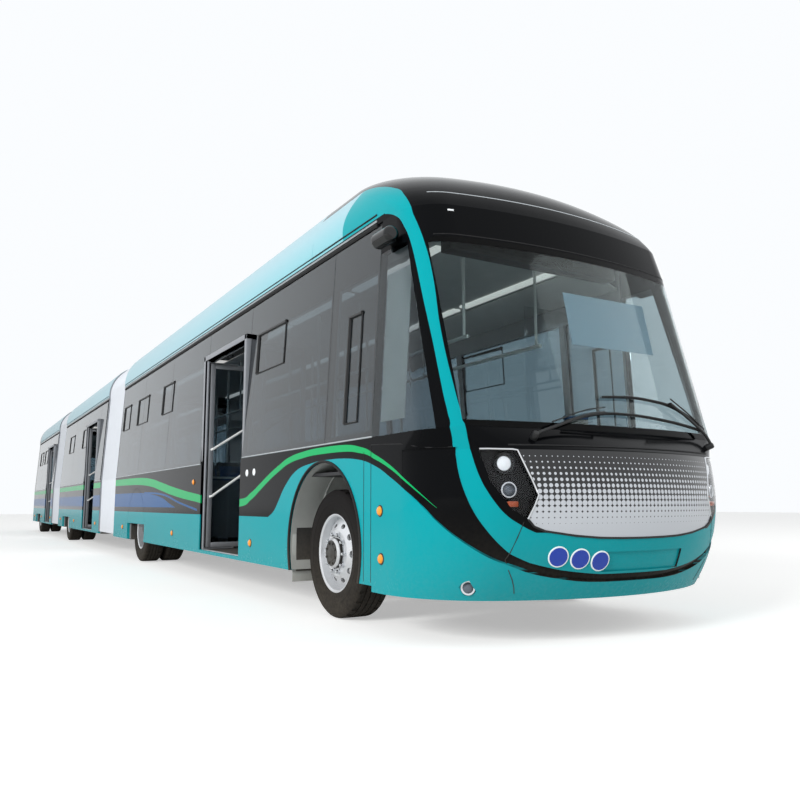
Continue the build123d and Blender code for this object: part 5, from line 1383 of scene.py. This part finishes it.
# Cabin linings, lights, floor and grab poles
CEILING_Z = 2.80
HANDRAIL_Z = 2.12
STRIP_Y = 0.60
POLE_Y = -0.50
SCREEN_OFFSET = 0.80
for car in CARS:
    rear, front = CAR_ENDS[car]
    if car == "rear":
        rear = TAIL + 0.12
    lining = bmesh.new()
    body = f"{car}_car"
    slab(lining, (rear + 0.02, -0.72, CEILING_Z), (front - 0.02, 0.72, CEILING_Z + 0.02), 0.006)
    for side in SIDES:
        half = (front - rear) / 2 - 0.02
        place = Matrix.Translation(((rear + front) / 2, side * 0.925, 2.735))
        slab(lining, (-half, -0.205, -0.010), (half, 0.205, 0.010), 0.006, 2,
             place @ Matrix.Rotation(-side * 0.32, 4, "X"))
    new_piece(f"ceiling_{car}", lining, ceiling_white, body)
    glow = bmesh.new()
    for side in SIDES:
        count = max(3, round((front - rear) / 1.6))
        pitch = (front - rear - 0.2) / count
        for step in range(count):
            start = rear + 0.14 + step * pitch
            slab(glow, (start, side * STRIP_Y - 0.045, CEILING_Z - 0.022),
                 (start + pitch - 0.10, side * STRIP_Y + 0.045, CEILING_Z + 0.002), 0.010)
    new_piece(f"light_strips_{car}", glow, cabin_light, body)
    carpet = bmesh.new()
    slab(carpet, (rear + 0.02, -0.45, FLOOR_TOP), (front - 0.02, 0.45, FLOOR_TOP + 0.004), 0.001, 1)
    new_piece(f"floor_cover_{car}", carpet, floor_vinyl, body)
    poles = bmesh.new()
    for side, feet in SEAT_ROWS[car]:
        for ahead in feet:
            x = FRONT_AXLE + ahead - 0.10
            tube(poles, [(x, side * AISLE_Y, BACK_TOP - 0.02), (x, side * AISLE_Y, CEILING_Z)], 0.017, 1)
    for side in SIDES:
        y = side * AISLE_Y
        tube(poles, [(rear + 0.15, y, HANDRAIL_Z), (front - 0.15, y, HANDRAIL_Z)], 0.016, 1)
        hangers = max(2, round((front - rear) / 1.8))
        for step in range(hangers + 1):
            x = rear + 0.2 + step * (front - rear - 0.4) / hangers
            tube(poles, [(x, y, HANDRAIL_Z), (x, y, CEILING_Z)], 0.012, 1)
    for way in BOTH_WAYS:
        x = DOOR_X[car] + way * SCREEN_OFFSET
        tube(poles, [(x, POLE_Y, FLOOR_TOP), (x, POLE_Y, CEILING_Z)], 0.017, 1)
        tube(poles, [(x, POLE_Y, 1.15), (x, -1.10, 1.15)], 0.014, 1)
    new_piece(f"grab_poles_{car}", poles, handrail_white, body)
    screens = bmesh.new()
    for way in BOTH_WAYS:
        x = DOOR_X[car] + way * SCREEN_OFFSET
        slab(screens, (x - 0.006, -1.14, FLOOR_TOP + 0.12), (x + 0.006, -0.53, 1.12), 0.003)
    new_piece(f"door_screens_{car}", screens, grey_plastic, body)

# Dashboard details, a ticket post, the driver's partition, the steering boss and the sign box
panel = bmesh.new()
DASH_X = FRONT_AXLE + 1.42
DASH_TOP = 1.160
slab(panel, (DASH_X + 0.05, 0.42, DASH_TOP), (DASH_X + 0.26, 0.98, DASH_TOP + 0.10), 0.03, 4)
slab(panel, (DASH_X + 0.06, 0.46, DASH_TOP + 0.075), (DASH_X + 0.20, 0.94, DASH_TOP + 0.118), 0.014, 3)
slab(panel, (DASH_X + 0.02, 0.10, DASH_TOP - 0.03), (DASH_X + 0.20, 0.36, DASH_TOP + 0.06), 0.02, 3)
slab(panel, (DASH_X - 0.05, -0.10, 0.95), (DASH_X + 0.04, 0.06, 1.42), 0.02, 3)
tube(panel, [(DASH_X - 0.02, -0.60, FLOOR_TOP), (DASH_X - 0.02, -0.60, 1.12)], 0.025, 2)
slab(panel, (DASH_X - 0.08, -0.68, 1.10), (DASH_X + 0.04, -0.52, 1.36), 0.03, 3)
new_piece("cab_panels", panel, dark_plastic, "front_car")
dials = bmesh.new()
for y in (0.60, 0.80):
    turned(dials, ((0.0, 0.001), (0.050, 0.001), (0.054, 0.006), (0.058, 0.006), (0.060, 0.0)),
           facing(Vector((DASH_X + 0.048, y, DASH_TOP + 0.055)), (-1, 0, 0.25)), 32)
new_piece("cab_dials", dials, chrome, "front_car")
partition = bmesh.new()
# Cut back over the front wheel's box
slab(partition, (FRONT_AXLE + 0.40, 0.36, FLOOR_TOP), (FRONT_AXLE + 0.43, 0.532, 1.30), 0.006)
slab(partition, (FRONT_AXLE + 0.40, 0.520, 1.088), (FRONT_AXLE + 0.43, 1.16, 1.30), 0.006)
slab(partition, (FRONT_AXLE + 0.43, 0.345, FLOOR_TOP), (FRONT_AXLE + 1.20, 0.365, 1.12), 0.006)
new_piece("cab_partition", partition, grey_plastic, "front_car")
partition_pane = bmesh.new()
slab(partition_pane, (FRONT_AXLE + 0.412, 0.38, 1.30), (FRONT_AXLE + 0.418, 1.12, 2.50), 0.001, 1)
new_piece("cab_partition_pane", partition_pane, clear_lens, "front_car")
boss = bmesh.new()
boss_place = Matrix.Translation((DASH_X - 0.075, DRIVER_Y, DASH_TOP + 0.065))
boss_lean = Matrix.Rotation(math.radians(-35), 4, "Y")
turned(boss, ((0.0, 0.030), (0.040, 0.028), (0.062, 0.018), (0.068, 0.0)), boss_place @ boss_lean, 32)
new_piece("steering_boss", boss, dark_plastic, "front_car")
sign_box = bmesh.new()
SIGN_X = FRONT_AXLE + 1.05
slab(sign_box, (FRONT_AXLE + 0.92, -0.80, 2.62), (SIGN_X, 0.80, 2.86), 0.012)
for step in range(-3, 4):
    y = step * 0.22
    slab(sign_box, (SIGN_X, y - 0.105, 2.65), (FRONT_AXLE + 1.055, y + 0.105, 2.83), 0.002, 1)
new_piece("route_sign_box", sign_box, dark_plastic, "front_car")
marker = bmesh.new()
slab(marker, (-0.022, -0.007, -0.002), (0.022, 0.007, 0.004), 0.003, 2, facing(*from_front(-0.955, 2.788)))
new_piece("dome_marker", marker, sign_white, "front_car")

# Camera mirrors: two lenses in their rings on each side
eyes, sockets = bmesh.new(), bmesh.new()
MIRROR_Y, MIRROR_Z = 1.270, 2.637
eye_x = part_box("camera_mirrors")[0].x + 0.002
for side in SIDES:
    for drop in (0.022, -0.022):
        place = facing(Vector((eye_x, side * MIRROR_Y, MIRROR_Z + drop)), (-1, 0, 0))
        turned(sockets, ((0.020, 0.002), (0.022, 0.004), (0.026, 0.002), (0.026, -0.010)), place, 24)
        turned(eyes, ((0.0, 0.004), (0.010, 0.003), (0.018, -0.001), (0.020, -0.004)), place, 24)
new_piece("mirror_lenses", eyes, lens_glass, "front_car")
new_piece("mirror_lens_rings", sockets, chrome, "front_car")

# Roof: fans and louvres on the equipment pods, and hatches between them
WELL_Z = 3.230
POD_Z = 3.400
FAN_PITCH = 0.61
FAN_COLLAR = ((0.245, 0.0), (0.245, 0.020), (0.232, 0.028), (0.222, 0.020), (0.222, 0.0))
HATCH_PITCH = 1.3
ROOF_ENDS = {car: (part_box(f"roof_{car}")[0].x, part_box(f"roof_{car}")[1].x) for car in CARS}
for car in CARS:
    rear, front = ROOF_ENDS[car]
    body = f"{car}_car"
    grilles, plates = bmesh.new(), bmesh.new()
    for start in (rear + 0.50, front - 2.40):
        for fan in range(3):
            x = start + 0.34 + fan * FAN_PITCH
            place = Matrix.Translation((x, 0.0, POD_Z))
            turned(grilles, FAN_COLLAR, place, 36)
            for ring in (0.06, 0.11, 0.16, 0.20):
                wire = ((ring, 0.018), (ring + 0.006, 0.021), (ring + 0.012, 0.018), (ring, 0.018))
                turned(grilles, wire, place, 24)
            turned(grilles, ((0.0, 0.026), (0.040, 0.024), (0.050, 0.010), (0.050, 0.0)), place, 24)
            for spoke in range(6):
                slab(grilles, (0.04, -0.005, 0.010), (0.226, 0.005, 0.017), 0.001, 1,
                     place @ Matrix.Rotation(spoke * math.pi / 3, 4, "Z"))
        for side in SIDES:
            for rib in range(14):
                x = start + 0.12 + rib * 0.125
                slab(plates, (x, side * 0.455, POD_Z - 0.002), (x + 0.085, side * 0.610, POD_Z + 0.010),
                     0.004)
        for side in SIDES:
            for rib in range(4):
                z = WELL_Z + 0.030 + rib * 0.033
                slab(plates, (start + 0.10, side * 0.637, z), (start + 1.80, side * 0.650, z + 0.016), 0.004)
    gap_low, gap_high = rear + 2.55, front - 2.55
    for step in range(max(0, int((gap_high - gap_low) // HATCH_PITCH))):
        x = gap_low + 0.15 + step * HATCH_PITCH
        slab(plates, (x, -0.42, WELL_Z), (x + 0.95, 0.42, WELL_Z + 0.055), 0.02, 3)
    new_piece(f"roof_fans_{car}", grilles, dark_plastic, body)
    new_piece(f"roof_hatches_{car}", plates, roof_grey, body)

# Tail: round lamps in their wells, louvres and a bare plate
rings, lenses, wells = bmesh.new(), bmesh.new(), bmesh.new()
lamp_low, lamp_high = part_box("tail_lamps")
TAIL_LAMP_Y = 0.990
LAMP_FACE = TAIL + 0.012
for side in SIDES:
    y = side * TAIL_LAMP_Y
    slab(wells, (lamp_high.x - 0.010, y - 0.088, lamp_low.z), (lamp_high.x, y + 0.088, lamp_high.z), 0.002)
    for right, left in ((-0.089, -0.083), (0.083, 0.089)):
        slab(wells, (LAMP_FACE, y + right, lamp_low.z), (lamp_high.x - 0.008, y + left, lamp_high.z), 0.002)
    for z in (0.87, 1.00, 1.13):
        place = facing(Vector((LAMP_FACE, y, z)), (-1, 0, 0))
        turned(rings, ((0.053, -0.012), (0.053, 0.004), (0.058, 0.008), (0.063, 0.004), (0.063, -0.012),
                       (0.053, -0.012)), place, 36)
        turned(lenses, ((0.0, 0.009), (0.018, 0.008), (0.036, 0.005), (0.050, 0.0), (0.053, -0.004)),
               place, 36)
new_piece("tail_lamp_rings", rings, chrome, "rear_car")
new_piece("tail_lamp_lenses", lenses, lamp_red, "rear_car", ("tail_lamps",))
new_piece("tail_lamp_wells", wells, trim_black, "rear_car")
FILM = 0.0003
louvres = bmesh.new()
for rib in range(9):
    z = 0.62 + rib * 0.055
    slab(louvres, (TAIL - FILM, -0.62, z), (TAIL + 0.016, 0.62, z + 0.030), 0.006)
for bottom, top in ((0.585, 0.600), (1.125, 1.140)):
    slab(louvres, (TAIL - FILM, -0.66, bottom), (TAIL + 0.010, 0.66, top), 0.003)
new_piece("tail_louvres", louvres, trim_black, "rear_car")
plate = bmesh.new()
slab(plate, (TAIL - FILM, -0.22, 0.420), (TAIL + 0.006, 0.22, 0.530), 0.003)
new_piece("rear_plate", plate, sign_white, "rear_car")

# Camera, from the photograph
CAMERA_PLACE = Vector((15.8844, -3.7149, 0.8469))
CAMERA_YAW = math.radians(30.350)
CAMERA_PITCH = math.radians(7.730)
CAMERA_ROLL = math.radians(-0.123)
CAMERA_LENS = 34.377


def add_camera():
    """Camera at the photograph's place, with its small roll."""
    level = math.cos(CAMERA_PITCH)
    forward = Vector((-math.cos(CAMERA_YAW) * level, math.sin(CAMERA_YAW) * level, math.sin(CAMERA_PITCH)))
    right = forward.cross(Vector((0, 0, 1))).normalized()
    up = right.cross(forward)
    side = right * math.cos(CAMERA_ROLL) + up * math.sin(CAMERA_ROLL)
    top = up * math.cos(CAMERA_ROLL) - right * math.sin(CAMERA_ROLL)
    camera = bpy.data.objects.new("camera", bpy.data.cameras.new("camera"))
    camera.data.lens = CAMERA_LENS
    camera.data.sensor_width = 36
    camera.data.clip_start = 0.05
    camera.data.clip_end = 200
    axes = Matrix((side, top, -forward)).transposed()
    camera.matrix_world = Matrix.Translation(CAMERA_PLACE) @ axes.to_4x4()
    bpy.context.scene.collection.objects.link(camera)
    bpy.context.scene.camera = camera


FLOOR_LIFT = 0.42
FLOOR_DARK, FLOOR_LIGHT = srgb(226, 226, 224), srgb(232, 232, 230)
SKY_TINT = (0.96, 0.98, 1.0, 1.0)
SKY_LIGHT = 0.45
SKY_SHOWN = 0.55
# Lamps: name, place, the point it looks at, size and power
STUDIO_LAMPS = (("key", (19, -26, 13), (2, 0, 1), 10, 8000), ("fill", (22, 14, 10), (6, 0, 1), 10, 1400))


def add_floor():
    """Plain pale floor that runs into a white background."""
    mesh = bpy.data.meshes.new("floor")
    shape = bmesh.new()
    bmesh.ops.create_grid(shape, x_segments=1, y_segments=1, size=60)
    shape.to_mesh(mesh)
    shape.free()
    floor = bpy.data.objects.new("floor", mesh)
    bpy.context.scene.collection.objects.link(floor)
    finish, tree, shader = new_finish("pale_floor")
    place = object_place(tree)[0]
    cloud = noise(tree, place, 0.6, 3.0)
    plug(tree, shader.inputs["Base Color"], blend_colour(tree, cloud, FLOOR_DARK, FLOOR_LIGHT))
    shader.inputs["Roughness"].default_value = 0.8
    rays = put(tree, "ShaderNodeLightPath")
    shader.inputs["Emission Color"].default_value = WHITE
    lift = calc(tree, "MULTIPLY", rays.outputs["Is Camera Ray"], FLOOR_LIFT)
    plug(tree, shader.inputs["Emission Strength"], lift)
    mesh.materials.append(finish)


def add_light():
    """Even white surroundings, one large soft key from the front right and a weak fill."""
    world = bpy.data.worlds.new("studio")
    world.use_nodes = True
    bpy.context.scene.world = world
    tree = world.node_tree
    shader = tree.nodes["Background"]
    rays = put(tree, "ShaderNodeLightPath")
    seen = calc(tree, "MAXIMUM", rays.outputs["Is Camera Ray"],
                calc(tree, "MAXIMUM", rays.outputs["Is Glossy Ray"], rays.outputs["Is Transmission Ray"]))
    shader.inputs["Color"].default_value = SKY_TINT
    plug(tree, shader.inputs["Strength"], calc(tree, "MULTIPLY_ADD", seen, SKY_SHOWN, SKY_LIGHT))
    for name, place, aim, size, power in STUDIO_LAMPS:
        lamp = bpy.data.lights.new(name, "AREA")
        lamp.size = size
        lamp.energy = power
        light = bpy.data.objects.new(name, lamp)
        light.location = place
        light.visible_glossy = False
        light.rotation_euler = (Vector(aim) - Vector(place)).to_track_quat("-Z", "Y").to_euler()
        bpy.context.scene.collection.objects.link(light)


add_camera()
add_floor()
add_light()
bpy.context.scene.view_settings.view_transform = "Standard"
